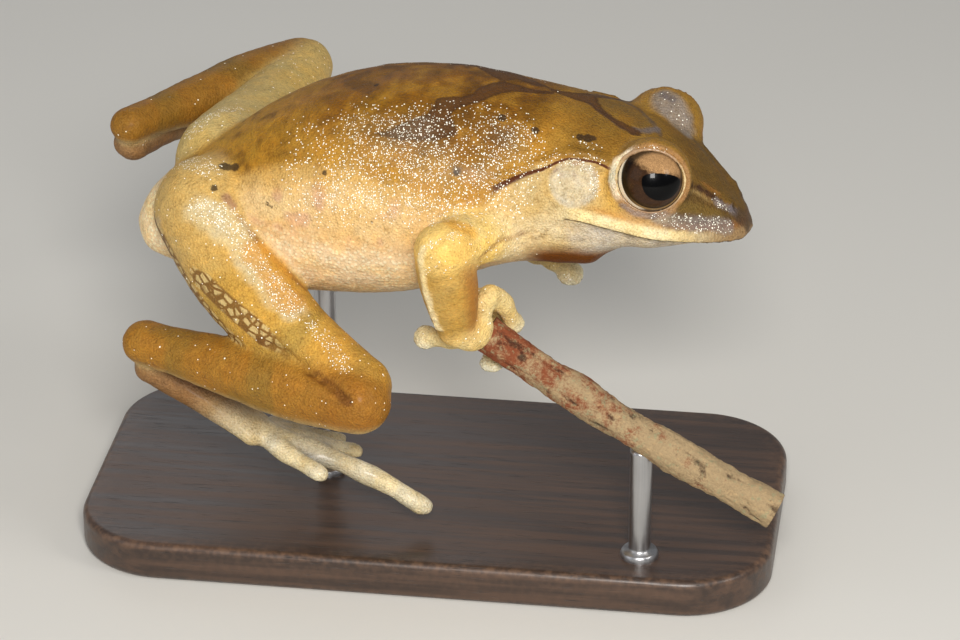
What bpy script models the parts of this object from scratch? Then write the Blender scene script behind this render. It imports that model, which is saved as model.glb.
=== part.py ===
"""A spot-legged tree frog that grips the broken end of a twig, life size, on a plain display stand.

X runs forward to the snout, Y to the animal's left, Z up. The origin is the centre of the
underside of the stand's base. Places on the frog are measured from the point midway between
the centres of its eyes, so at(x, y, z) turns millimetres from there into metres in this frame.
"""
import math

import bmesh
import bpy
import numpy as np
from mathutils import Vector

MM = 0.001
GAP = 0.3 * MM

# Where the point between the eyes lies, and the stand's base under the frog
EYES_FORWARD = 22.0
EYES_LEFT = -2.0
EYES_UP = 43.0
BASE_LENGTH = 70 * MM
BASE_WIDTH = 36 * MM
BASE_HEIGHT = 4 * MM
BASE_CORNER = 9 * MM
BASE_EDGE = 0.5 * MM
ROD_RADIUS = 1.1 * MM

# Head and trunk: x, half width, half width just under the widest place, level of the widest place,
# top and bottom of each cross-section. On the head the widest place is the line of the mouth, and
# the lower jaw lies a little inside the upper lip.
BODY = np.array([
    (-51.6, 0.9, 0.9, -10.8, -9.8, -12.0),
    (-50.9, 2.3, 2.3, -10.6, -8.2, -13.2),
    (-49.3, 3.7, 3.7, -10.0, -6.1, -14.1),
    (-46.3, 5.4, 5.4, -9.2, -3.9, -14.9),
    (-43.0, 6.9, 6.9, -8.2, -1.4, -15.6),
    (-38.0, 9.0, 9.0, -7.0, 2.2, -16.1),
    (-32.0, 10.9, 10.9, -6.0, 5.0, -15.9),
    (-27.0, 11.9, 11.9, -5.4, 6.2, -15.4),
    (-22.0, 12.2, 12.2, -5.0, 6.6, -14.4),
    (-17.0, 11.4, 11.4, -4.6, 6.4, -12.2),
    (-13.0, 10.3, 10.3, -4.0, 5.8, -11.1),
    (-10.0, 9.7, 9.7, -3.5, 5.2, -11.2),
    (-7.5, 9.6, 9.5, -3.4, 4.6, -11.3),
    (-5.7, 9.6, 9.35, -3.7, 4.2, -11.0),
    (-4.0, 9.6, 9.2, -4.1, 3.8, -9.5),
    (-2.4, 9.45, 9.0, -4.55, 3.35, -8.6),
    (0.0, 9.1, 8.6, -5.2, 2.6, -8.35),
    (3.0, 7.8, 7.1, -6.0, 0.6, -8.0),
    (5.0, 6.4, 5.4, -6.6, -1.3, -8.0),
    (7.0, 4.6, 3.7, -7.2, -3.4, -8.05),
    (8.2, 3.1, 2.3, -7.6, -5.0, -8.15),
    (8.9, 1.8, 1.1, -7.7, -6.2, -8.15),
    (9.2, 0.7, 0.5, -7.6, -7.1, -8.0),
])
BODY_LEVEL = 2
THINNEST = 0.05
BODY_SIDES = 24
EYE_DETAIL = (18, 10)
ROLL_DETAIL = (16, 5)
DISC_DETAIL = (8, 6)
NOSTRIL_DETAIL = (10, 6)
BODY_ROUNDNESS = 2.15
NECK = -11.3

# Eyes, lids, eardrums, nostrils and mouth, in millimetres
EYE_SIDE = 6.3
EYE_RADIUS = 3.3
LID_AXIS = (0.0, 0.95, 0.31)
LID_RADIUS = 3.95
LID_OPENING = 3.35
LID_OPENING_OUT = 0.9
LID_CONE_LENGTH = 8.0
LID_ROLL = 0.35
LID_ROLL_OUT = 0.7
EARDRUM = (-7.2, 0.43)
EARDRUM_RADIUS = 2.35
EARDRUM_ROLL = 0.3
EARDRUM_DEPTH = 0.35
EARDRUM_ROLL_DEPTH = 0.05
NOSTRIL = (7.6, 1.02)
NOSTRIL_RADIUS = 0.35
MOUTH_CORNER = -8.0
MOUTH_GAPE = 0.3
MOUTH_DEPTH = 0.8
MOUTH_REACH = 12.0
LIP_RADIUS = 0.45
LIP_SUNK = 0.45
UPPER_LIP_ANGLE = 0.14
LOWER_LIP_ANGLE = -0.2

# Joints of the limbs, in millimetres from the point between the eyes
HIP = {"right": (-43.5, -5.0, -7.0), "left": (-43.5, 5.0, -6.5)}
KNEE = {"right": (-26.7, -17.5, -19.5), "left": (-40.9, 31.0, -6.8)}
HEEL = {"right": (-49.9, -8.0, -20.5), "left": (-54.7, 9.5, -5.0)}
ANKLE = {"right": (-49.6, -7.2, -23.4), "left": (-54.8, 10.6, -7.6)}
INSTEP = {"right": (-39.0, -7.5, -29.6), "left": (-50.6, 23.2, -9.4)}
SHOULDER = {"right": (-13.8, -6.8, -5.8), "left": (-13.3, 7.0, -7.2)}
ELBOW = {"right": (-18.8, -16.0, -4.2), "left": (-19.5, 15.5, -9.5)}
WRIST = {"right": (-18.0, -12.2, -14.6), "left": (-15.2, 13.2, -16.2)}
PALM = {"right": (-16.2, -10.6, -14.9), "left": (-13.2, 12.2, -17.6)}

# At the knee the thigh ends to one side of the joint and the shank to the other
KNEE_FOLD = {"right": (0.1, 0.8, 0.4), "left": (0.5, 0.0, -0.2)}
THIGH_BOW = {"right": (-1.9, 0.3, -1.6), "left": (0.0, 0.0, -0.5)}
SHANK_SCALE = {"right": 1.0, "left": 0.84}

# Half width and half depth of each limb part at fractions of its length
UPPER_ARM = ((0.0, 3.1, 2.9), (0.5, 2.9, 2.7), (1.0, 2.6, 2.5))
FOREARM = ((0.0, 2.7, 2.4), (0.3, 2.9, 2.4), (0.7, 2.5, 2.0), (1.0, 1.8, 1.4))
THIGH = ((0.0, 5.5, 5.5), (0.3, 5.0, 4.9), (0.7, 3.7, 3.8), (1.0, 2.9, 3.0))
SHANK = ((0.0, 3.2, 3.2), (0.25, 3.7, 3.5), (0.6, 3.1, 2.9), (0.85, 2.4, 2.3), (1.0, 2.3, 2.2))
TARSUS = ((0.0, 1.9, 1.6), (0.5, 1.8, 1.5), (1.0, 2.5, 1.2))
PALM_PROFILE = ((0.0, 1.8, 1.5), (0.35, 2.2, 1.6), (0.7, 2.4, 1.6), (1.0, 2.1, 1.4))
ARM_FLAT = {"right": (0.25, -0.95, 0.1), "left": (0.25, 0.95, 0.1)}
HAND_FLAT = {"right": (0.3, -0.8, 0.5), "left": (0.3, 0.5, 0.8)}
FOOT_FLAT = {"right": (0.3, -0.1, 0.95), "left": (0.3, 0.1, 0.95)}
LIMB_SIDES = 14
LIMB_RINGS = 8
FOOT_RINGS = 6
DIGIT_SIDES = 6

# Digits as the points that each one passes after the palm or instep, tip last, its mean radius,
# its disc's radius and the direction out of the disc's flat side
FINGERS = {
    "right": (
        (((-14.9, -10.8, -11.3), (-13.8, -9.0, -13.3), (-13.2, -7.7, -15.6)), 1.0, 1.1, (0.3, -0.8, 0.5)),
        (((-16.2, -9.2, -12.7), (-15.1, -7.5, -13.9), (-14.3, -6.2, -16.6)), 1.0, 1.1, (0.3, -0.8, 0.5)),
        (((-16.5, -8.2, -15.7), (-15.3, -6.2, -17.5), (-15.1, -7.3, -20.1)), 0.9, 1.4, (-0.1, -0.33, 0.94)),
        (((-18.6, -10.0, -16.8), (-21.2, -8.8, -17.5)), 0.95, 1.3, (-0.11, -0.78, 0.62)),
    ),
    "left": (
        (((-11.8, 10.8, -17.8), (-9.9, 9.7, -18.5)), 0.98, 1.45, (0.1, -0.6, 0.75)),
        (((-10.9, 12.4, -16.9), (-8.0, 12.6, -16.3)), 0.98, 1.2, (0.3, 0.5, 0.8)),
        (((-11.6, 14.4, -17.9), (-9.4, 16.2, -17.9)), 0.98, 1.2, (0.3, 0.5, 0.8)),
        (((-13.8, 14.6, -18.6), (-13.0, 17.1, -18.7)), 0.98, 1.1, (0.3, 0.5, 0.8)),
    ),
}
TOES = {
    "right": (
        (((-37.6, -3.6, -31.0), (-35.8, 0.6, -32.8)), 0.8, 0.7, FOOT_FLAT["right"]),
        (((-36.4, -4.6, -31.2), (-32.0, -0.6, -34.0)), 0.8, 0.8, FOOT_FLAT["right"]),
        (((-35.2, -5.8, -31.2), (-29.9, -4.0, -33.3)), 0.82, 0.9, FOOT_FLAT["right"]),
        (((-34.4, -7.8, -31.2), (-26.2, -8.9, -33.8), (-22.2, -9, -36.2)), 1.05, 1.05, FOOT_FLAT["right"]),
        (((-35.8, -9.6, -30.8), (-32.0, -11.6, -31.9)), 0.95, 0.9, FOOT_FLAT["right"]),
    ),
    "left": (
        (((-47.4, 24.6, -11.6), (-43.8, 25.2, -13.6)), 0.82, 0.7, FOOT_FLAT["left"]),
        (((-47.2, 25.8, -11.8), (-41.6, 28.6, -14.8)), 0.82, 0.8, FOOT_FLAT["left"]),
        (((-47.6, 27.2, -11.8), (-41.4, 33.0, -15.4)), 0.82, 0.9, FOOT_FLAT["left"]),
        (((-48.4, 28.4, -11.8), (-43.4, 37.6, -15.4), (-42.4, 39.4, -16.6)), 0.95, 1.0, FOOT_FLAT["left"]),
        (((-49.8, 28.6, -11.4), (-48.4, 36.0, -13.8)), 0.82, 0.9, FOOT_FLAT["left"]),
    ),
}
DIGIT_TAPER = (1.15, 0.85)
DISC_HALF_THICKNESS = 0.5
DISC_OUT = 0.3
WEB_REACH = 0.74
WEB_HOLLOW = 0.3
WEB_STEPS = 6
WEB_THICKNESS = 0.55

# The twig under the right hand
TWIG_START = (-15.6, -9.29, -16.36)
TWIG_DIRECTION = (0.874, -0.10, -0.474)
TWIG_LENGTH = 33.15
TWIG_POINTS = 14
TWIG_SIDES = 12
TWIG_RADIUS = 1.8
TWIG_RIPPLE = 0.12
TWIG_KNOTS = 3.0
TWIG_SAG = 0.6
TWIG_ROD_ALONG = 18.15
BELLY_ROD = (-33.5, 2.0)
BELLY_ROD_TOP = -12.0


def at(x, y, z):
    """Point in metres in the part's frame, from millimetres from the point between the eyes."""
    return np.array((x + EYES_FORWARD, y + EYES_LEFT, z + EYES_UP)) * MM


def unit(vector):
    """The vector at length 1."""
    vector = np.asarray(vector, float)
    return vector / np.linalg.norm(vector)


def smooth(table, where):
    """Rows of TABLE without their first column, read at WHERE along it by a curve through them."""
    table = np.asarray(table, float)
    places = table[:, 0]
    values = table[:, 1:]
    slopes = np.gradient(values, places, axis=0)
    where = np.atleast_1d(where)
    step = np.clip(np.searchsorted(places, where) - 1, 0, len(places) - 2)
    width = (places[step + 1] - places[step])[:, None]
    t = ((where - places[step])[:, None]) / width
    rise = values[step + 1] - values[step]
    curve = slopes[step] * width * t * (1 - t) ** 2 - slopes[step + 1] * width * t ** 2 * (1 - t)
    return values[step] + rise * t * t * (3 - 2 * t) + curve


def new_collection(name):
    """A collection of that name in the scene."""
    collection = bpy.data.collections.new(name)
    bpy.context.scene.collection.children.link(collection)
    return collection


def new_object(name, mesh, collection):
    """An object of MESH in COLLECTION."""
    body = bpy.data.objects.new(name, mesh)
    collection.objects.link(body)
    return body


def mesh_from(builder):
    """A mesh with the shape that BUILDER puts in a bmesh, its faces pointing out."""
    shape = bmesh.new()
    builder(shape)
    bmesh.ops.recalc_face_normals(shape, faces=shape.faces)
    mesh = bpy.data.meshes.new("shape")
    shape.to_mesh(mesh)
    shape.free()
    return mesh


def loft(name, rings, collection):
    """Closed solid through RINGS, which have the same number of points, with flat ends."""
    def build(shape):
        loops = [[shape.verts.new(point) for point in ring] for ring in rings]
        count = len(loops[0])
        for one, two in zip(loops, loops[1:]):
            for i in range(count):
                j = (i + 1) % count
                shape.faces.new((one[i], one[j], two[j], two[i]))
        shape.faces.new(loops[0])
        shape.faces.new(loops[-1])
    return new_object(name, mesh_from(build), collection)


def ball(name, centre, axes, collection, detail=(16, 10)):
    """Ellipsoid at CENTRE whose half axes are the three vectors AXES."""
    frame = np.array(axes).T

    def build(shape):
        bmesh.ops.create_uvsphere(shape, u_segments=detail[0], v_segments=detail[1], radius=1.0)
        for vertex in shape.verts:
            vertex.co = Vector(centre + frame @ np.array(vertex.co))
    return new_object(name, mesh_from(build), collection)


def sphere(name, centre, radius, collection, detail=(16, 10)):
    """Round ball."""
    return ball(name, centre, np.eye(3) * radius, collection, detail)


def along(name, start, end, near, far, collection, sides=16):
    """Cylinder or cone from START to END with the radii NEAR and FAR."""
    start = Vector(start)
    way = Vector(end) - start
    turn = way.to_track_quat("Z", "Y").to_matrix().to_4x4()

    def build(shape):
        bmesh.ops.create_cone(shape, cap_ends=True, segments=sides, radius1=near, radius2=far, depth=way.length)
        shape.transform(turn)
        for vertex in shape.verts:
            vertex.co += start + way / 2
    return new_object(name, mesh_from(build), collection)


def ring_roll(name, centre, axis, major, minor, collection, detail=ROLL_DETAIL):
    """Round roll, a torus about AXIS."""
    bpy.ops.mesh.primitive_torus_add(major_segments=detail[0], minor_segments=detail[1],
                                     major_radius=major, minor_radius=minor)
    roll = bpy.context.active_object
    roll.name = name
    turn = Vector(axis).to_track_quat("Z", "Y").to_matrix().to_4x4()
    roll.data.transform(turn)
    for vertex in roll.data.vertices:
        vertex.co += Vector(centre)
    for owner in list(roll.users_collection):
        owner.objects.unlink(roll)
    collection.objects.link(roll)
    return roll


def frame_along(path, flat):
    """For each point of PATH the way ahead, the way across and the one nearest FLAT, carried on untwisted."""
    ahead = np.gradient(path, axis=0)
    ahead /= np.linalg.norm(ahead, axis=1)[:, None]
    across = []
    up = flat
    for way in ahead:
        side = unit(np.cross(way, up))
        up = np.cross(side, way)
        across.append(side)
    across = np.array(across)
    return ahead, across, np.cross(across, ahead)


def tube(name, path, wide, deep, flat, collection, grow=0.0, sides=LIMB_SIDES, ends=(80, 55, 28)):
    """Solid along PATH with half width WIDE and, towards FLAT, half depth DEEP.

    ENDS are the latitudes in degrees of the rings that round its ends, none for flat ones.
    """
    ahead, across, up = frame_along(path, flat)
    angle = np.linspace(0, 2 * math.pi, sides, endpoint=False)
    wide = np.asarray(wide) + grow
    deep = np.asarray(deep) + grow
    places = [(i, 1.0, 0.0) for i in range(len(path))]
    steps = np.radians(ends)
    places = [(0, math.cos(a), -math.sin(a)) for a in steps] + places
    places += [(len(path) - 1, math.cos(a), math.sin(a)) for a in steps[::-1]]
    rings = []
    for i, size, shift in places:
        centre = path[i] + ahead[i] * shift * min(wide[i], deep[i])
        ring = (centre + size * (np.outer(np.cos(angle), across[i]) * wide[i]
                                 + np.outer(np.sin(angle), up[i]) * deep[i]))
        rings.append(ring)
    return loft(name, rings, collection)


def limb(name, start, end, profile, flat, collection, grow=0.0, bow=(0, 0, 0)):
    """Limb part from START to END, thick as PROFILE says and bent towards BOW at its middle."""
    share = np.linspace(0, 1, LIMB_RINGS)
    wide, deep = smooth(profile, share).T * MM
    start = at(*start)
    way = at(*end) - start
    path = start + np.outer(share, way) + np.outer(np.sin(math.pi * share), np.array(bow) * MM)
    return tube(name, path, wide, deep, flat, collection, grow)


def digit(name, root, points, radius, disc, flat, collection):
    """Finger or toe from ROOT through POINTS with a disc of radius DISC, flat towards FLAT, at its tip."""
    stops = np.array([at(*root)] + [at(*point) for point in points])
    reach = np.concatenate(([0], np.cumsum(np.linalg.norm(np.diff(stops, axis=0), axis=1))))
    path = smooth(np.column_stack((reach, stops)), np.linspace(0, reach[-1], 2 * len(stops)))
    size = np.linspace(*DIGIT_TAPER, len(path)) * radius * MM
    bone = tube(name, path, size, size, flat, collection, sides=DIGIT_SIDES, ends=(70, 35))
    tip = unit(path[-1] - path[-2])
    side = unit(np.cross(tip, flat))
    forward = np.cross(flat, side)
    axes = (forward * disc * MM, side * disc * MM, np.array(flat) * DISC_HALF_THICKNESS * MM)
    pad = ball(name + "_disc", path[-1] + forward * DISC_OUT * disc * MM, axes, collection, DISC_DETAIL)
    return path, [bone, pad]


def web(name, one, two, flat, collection):
    """Sheet between the digits along the paths ONE and TWO, with a hollow free edge."""
    lines = []
    for share in np.linspace(0, 1, WEB_STEPS):
        hollow = WEB_REACH * (1 - WEB_HOLLOW * math.sin(math.pi * share))
        steps = np.linspace(0, hollow, WEB_STEPS)
        rows = []
        for path in (one, two):
            reach = np.linspace(0, 1, len(path))
            rows.append(np.array([np.interp(steps, reach, path[:, k]) for k in range(3)]).T)
        lines.append(rows[0] * (1 - share) + rows[1] * share)
    grid = np.array(lines)
    across = np.gradient(grid, axis=0)
    forward = np.gradient(grid, axis=1)
    normal = np.cross(across, forward)
    normal /= np.linalg.norm(normal, axis=2)[:, :, None] + 1e-12
    normal *= np.sign(normal @ flat)[:, :, None]
    half = WEB_THICKNESS * MM / 2
    rings = []
    for j in range(1, WEB_STEPS):
        upper = grid[:, j] + normal[:, j] * half
        lower = grid[::-1, j] - normal[::-1, j] * half
        rings.append(np.concatenate((upper, lower)))
    return loft(name, rings, collection)


def evaluated_mesh(body):
    """The object's shape with its modifiers applied."""
    bpy.context.view_layer.update()
    depsgraph = bpy.context.evaluated_depsgraph_get()
    return bpy.data.meshes.new_from_object(body.evaluated_get(depsgraph))


def largest_surface(mesh):
    """Leaves only the closed surface with the most volume in MESH."""
    shape = bmesh.new()
    shape.from_mesh(mesh)
    bmesh.ops.remove_doubles(shape, verts=shape.verts, dist=0.002 * MM)
    bmesh.ops.dissolve_degenerate(shape, dist=0.002 * MM, edges=shape.edges)
    bmesh.ops.triangulate(shape, faces=shape.faces)
    left = set(shape.verts)
    groups = []
    while left:
        group = set()
        front = [left.pop()]
        while front:
            vertex = front.pop()
            group.add(vertex)
            for edge in vertex.link_edges:
                other = edge.other_vert(vertex)
                if other in left:
                    left.remove(other)
                    front.append(other)
        groups.append(group)

    def volume(group):
        faces = {face for vertex in group for face in vertex.link_faces}
        return sum(f.verts[0].co.dot(f.verts[1].co.cross(f.verts[2].co)) for f in faces)
    groups.sort(key=volume)
    for group in groups[:-1]:
        bmesh.ops.delete(shape, geom=list(group), context="VERTS")
    shape.to_mesh(mesh)
    shape.free()


def apply_boolean(body, operation, others, solver="EXACT"):
    """Joins OTHERS to BODY or cuts them from it, and removes them."""
    hidden = new_collection("operands")
    for other in others:
        for owner in list(other.users_collection):
            owner.objects.unlink(other)
        hidden.objects.link(other)
        other.hide_render = True
        other.display_type = "WIRE"
    change = body.modifiers.new(operation.lower(), "BOOLEAN")
    change.operation = operation
    change.operand_type = "COLLECTION"
    change.collection = hidden
    change.solver = solver
    mesh = evaluated_mesh(body)
    body.modifiers.clear()
    body.data = mesh
    largest_surface(mesh)
    for other in others:
        bpy.data.objects.remove(other)
    bpy.data.collections.remove(hidden)


def fuse(name, pieces):
    """One object made of the closed PIECES."""
    body = pieces[0]
    apply_boolean(body, "UNION", pieces[1:])
    body.name = name
    return body


def cut(body, cutters):
    """Cuts each of CUTTERS from BODY."""
    for cutter in cutters:
        apply_boolean(body, "DIFFERENCE", [cutter])


def body_ring(x, grow=0.0):
    """Cross-section of head and trunk at X, GROW millimetres larger all round."""
    section = smooth(BODY, x)[0]
    angles = np.linspace(0, 2 * math.pi, BODY_SIDES, endpoint=False)
    return np.array([body_place(x, angle, section, grow) for angle in angles])


def body_place(x, angle, section, grow):
    """Point of the cross-section at ANGLE, counted from the left side over the top."""
    half, half_below, level, top, bottom = section
    power = 2 / BODY_ROUNDNESS
    c, s = math.cos(angle), math.sin(angle)
    under = s < -1e-9
    side = math.copysign(abs(c) ** power, c) * max((half_below if under else half) + grow, THINNEST)
    reach = max((level - bottom if under else top - level) + grow, THINNEST)
    return at(x, side, level + math.copysign(abs(s) ** power, s) * reach)


def on_body(x, angle):
    """Point of the surface of head or trunk and the direction out of it."""
    def point(px, pa):
        return body_place(px, pa, smooth(BODY, px)[0], 0.0)
    step = 0.02
    here = point(x, angle)
    out = np.cross(point(x + step, angle) - here, point(x, angle + step) - here)
    out = unit(out)
    middle = at(x, 0, smooth(BODY, x)[0][BODY_LEVEL])
    return here, out if out @ (here - middle) > 0 else -out


def body_span(name, rear, front, collection, grow=0.0):
    """Head and trunk from REAR to FRONT as one solid."""
    inner = [x for x in np.concatenate((BODY[:, 0], (BODY[1:, 0] + BODY[:-1, 0]) / 2)) if rear < x < front]
    places = [rear] + sorted(inner) + [front]
    return loft(name, [body_ring(x, grow) for x in places], collection)


def whole_body(collection, grow):
    """Head and trunk in one, GROW millimetres larger, for cutting what grows from them."""
    return body_span("body", BODY[0, 0], BODY[-1, 0], collection, grow)


def mouth_slot(collection):
    """Thin sheet along the line of the mouth that stops MOUTH_DEPTH under the skin."""
    places = np.linspace(MOUTH_CORNER, BODY[-1, 0] + 1.0, 14)
    rings = []
    for x in places:
        level = smooth(BODY, min(x, BODY[-1, 0]))[0][BODY_LEVEL]
        low, high = level - MOUTH_GAPE / 2, level + MOUTH_GAPE / 2
        corners = ((-MOUTH_REACH, low), (MOUTH_REACH, low), (MOUTH_REACH, high), (-MOUTH_REACH, high))
        rings.append([at(x, y, z) for y, z in corners])
    slot = loft("slot", rings, collection)
    core = body_span("core", MOUTH_CORNER - 4, BODY[-2, 0] - MOUTH_DEPTH, collection, -MOUTH_DEPTH)
    cut(slot, [core])
    return slot


def lip(name, angle, collection):
    """Roll of skin along the jaw from one corner of the mouth round the snout to the other."""
    places = np.linspace(MOUTH_CORNER + 0.6, BODY[-1, 0] - 0.5, 6)
    right = [on_body(x, math.pi - angle) for x in places]
    left = [on_body(x, angle) for x in places[::-1]]
    front = [on_body(BODY[-1, 0] - 0.05, math.pi - 2 * angle), on_body(BODY[-1, 0] - 0.05, 2 * angle)]
    points = np.array([place - out * LIP_RADIUS * LIP_SUNK * MM for place, out in right + front + left])
    size = np.full(len(points), LIP_RADIUS * MM)
    return tube(name, points, size, size, (0, 0, 1), collection, sides=6)


def lid_axis(side):
    """Direction in which the lids on SIDE open."""
    return unit((LID_AXIS[0], LID_AXIS[1] * side, LID_AXIS[2]))


def make_head(parts):
    """Head with lids, eardrums, nostrils, lips and the line of the mouth."""
    head = body_span("head", NECK + 0.5 * GAP / MM, BODY[-1, 0], parts)
    lid_balls = [sphere("lid", at(0, s * EYE_SIDE, 0), LID_RADIUS * MM, parts, EYE_DETAIL) for s in (-1, 1)]
    lips = [lip("upper_lip", UPPER_LIP_ANGLE, parts), lip("lower_lip", LOWER_LIP_ANGLE, parts)]
    head = fuse("head", [head] + lid_balls + lips)
    cutters = [mouth_slot(parts)]
    rolls = []
    for side in (-1, 1):
        axis = lid_axis(side)
        eye = at(0, side * EYE_SIDE, 0)
        apex = eye + axis * (LID_OPENING_OUT - LID_OPENING) * MM
        wide = LID_CONE_LENGTH * MM
        cutters.append(along("opening", apex, apex + axis * wide, THINNEST * MM, wide, parts))
        rolls.append(ring_roll("lid_roll", eye + axis * LID_ROLL_OUT * MM, axis,
                               (LID_RADIUS - LID_ROLL) * MM, LID_ROLL * MM, parts))
        turn = EARDRUM[1] if side > 0 else math.pi - EARDRUM[1]
        drum, out = on_body(EARDRUM[0], turn)
        cutters.append(along("drum", drum - out * EARDRUM_DEPTH * MM, drum + out * 2 * MM,
                             (EARDRUM_RADIUS - EARDRUM_ROLL) * MM, EARDRUM_RADIUS * MM, parts))
        rolls.append(ring_roll("drum_roll", drum - out * EARDRUM_ROLL_DEPTH * MM, out,
                               EARDRUM_RADIUS * MM, EARDRUM_ROLL * MM, parts))
        turn = NOSTRIL[1] if side > 0 else math.pi - NOSTRIL[1]
        place = on_body(NOSTRIL[0], turn)[0]
        cutters.append(sphere("nostril", place, NOSTRIL_RADIUS * MM, parts, NOSTRIL_DETAIL))
    cut(head, cutters)
    head = fuse("head", [head] + rolls)
    room = EYE_RADIUS * MM + GAP
    cut(head, [sphere("socket", at(0, s * EYE_SIDE, 0), room, parts, EYE_DETAIL) for s in (-1, 1)])
    return head


def make_eye(side, parts):
    """Eyeball."""
    name = "eye_left" if side > 0 else "eye_right"
    return sphere(name, at(0, side * EYE_SIDE, 0), EYE_RADIUS * MM, parts, EYE_DETAIL)


def upper_arm(which, parts, grow=0.0):
    """Upper arm."""
    return limb("upper_arm_" + which, SHOULDER[which], ELBOW[which], UPPER_ARM, (0, 0, 1), parts, grow)


def forearm(which, parts, grow=0.0):
    """Forearm."""
    flat = unit(ARM_FLAT[which])
    return limb("forearm_" + which, ELBOW[which], WRIST[which], FOREARM, flat, parts, grow)


def knee(which, shift):
    """End of the thigh or shank at the knee, SHIFT millimetres to its own side of the fold."""
    return tuple(np.array(KNEE[which]) + np.array(KNEE_FOLD[which]) * shift)


def thigh(which, parts, grow=0.0):
    """Thigh."""
    bow = THIGH_BOW[which]
    return limb("thigh_" + which, HIP[which], knee(which, 1.0), THIGH, (0, 0, 1), parts, grow, bow)


def shank(which, parts, grow=0.0):
    """Shank, from the knee to the heel."""
    profile = np.array(SHANK) * (1.0, SHANK_SCALE[which], SHANK_SCALE[which])
    return limb("shank_" + which, knee(which, -1.0), HEEL[which], profile, (0, 0, 1), parts, grow)


def twig_path():
    """Middle line of the twig, slightly sagging."""
    share = np.linspace(0, 1, TWIG_POINTS)
    start = at(*TWIG_START)
    way = unit(TWIG_DIRECTION) * TWIG_LENGTH * MM
    sag = np.outer(np.sin(math.pi * share) * TWIG_SAG * MM, (0, 0, -1))
    return start + np.outer(share, way) + sag


def make_twig(parts, grow=0.0):
    """Cut length of twig with a swelling at each knot."""
    path = twig_path()
    share = np.linspace(0, 1, len(path))
    radius = (TWIG_RADIUS + TWIG_RIPPLE * np.cos(2 * math.pi * TWIG_KNOTS * share)) * MM
    ends = (80,) if grow else ()
    return tube("perch_twig", path, radius, radius, (0, 0, 1), parts, grow, TWIG_SIDES, ends)


def make_hand(which, parts):
    """Palm with its four fingers and their discs."""
    start = at(*WRIST[which])
    way = at(*PALM[which]) - start
    profile = np.array(PALM_PROFILE)
    path = start + np.outer(profile[:, 0], way)
    pieces = [tube("palm", path, profile[:, 1] * MM, profile[:, 2] * MM, unit(HAND_FLAT[which]), parts)]
    for number, (points, radius, disc, flat) in enumerate(FINGERS[which]):
        pieces += digit(f"finger_{number}", PALM[which], points, radius, disc, unit(flat), parts)[1]
    return fuse("hand_" + which, pieces)


def make_foot(which, parts):
    """Tarsus, instep, five toes with discs and the webs between them."""
    sole = unit(FOOT_FLAT[which])
    start = at(*ANKLE[which])
    way = at(*INSTEP[which]) - start
    share = np.linspace(0, 1, FOOT_RINGS)
    wide, deep = smooth(TARSUS, share).T * MM
    pieces = [tube("tarsus", start + np.outer(share, way), wide, deep, sole, parts)]
    paths = []
    for number, (points, radius, disc, flat) in enumerate(TOES[which]):
        path, solids = digit(f"toe_{number}", INSTEP[which], points, radius, disc, unit(flat), parts)
        paths.append(path)
        pieces += solids
    for number, (one, two) in enumerate(zip(paths, paths[1:])):
        pieces.append(web(f"web_{number}", one, two, sole, parts))
    return fuse("foot_" + which, pieces)


def make_base(parts):
    """Flat base with round corners and a softened edge."""
    half_x, half_y = BASE_LENGTH / 2 - BASE_CORNER, BASE_WIDTH / 2 - BASE_CORNER
    outline = []
    for quarter, (sx, sy) in enumerate(((1, 1), (-1, 1), (-1, -1), (1, -1))):
        for angle in np.linspace(quarter, quarter + 1, 7) * math.pi / 2:
            x = sx * half_x + BASE_CORNER * math.cos(angle)
            outline.append((x, sy * half_y + BASE_CORNER * math.sin(angle)))
    outline = np.array(outline)
    rings = []
    steps = ((0, BASE_EDGE), (BASE_EDGE, 0), (BASE_HEIGHT - BASE_EDGE, 0), (BASE_HEIGHT, BASE_EDGE))
    for height, inset in steps:
        scale = 1 - inset / (BASE_WIDTH / 2)
        rings.append([(x * scale, y * scale, height) for x, y in outline])
    return loft("stand_base", rings, parts)


def make_rod(name, x, y, top, parts):
    """Upright rod from just above the base to TOP."""
    foot = np.array((x, y, BASE_HEIGHT + GAP))
    return along(name, foot, np.array((x, y, top)), ROD_RADIUS, ROD_RADIUS, parts, sides=16)


def material(name, colour, roughness, metallic=0.0):
    """Principled material."""
    finish = bpy.data.materials.new(name)
    finish.use_nodes = True
    shader = finish.node_tree.nodes["Principled BSDF"]
    shader.inputs["Base Color"].default_value = (*colour, 1.0)
    shader.inputs["Roughness"].default_value = roughness
    shader.inputs["Metallic"].default_value = metallic
    return finish


def paint(body, finish):
    """Gives BODY its material and smooth shading with sharp edges kept."""
    body.data.materials.clear()
    body.data.materials.append(finish)
    body.data.shade_smooth()
    body.data.set_sharp_from_angle(angle=math.radians(40))


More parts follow.
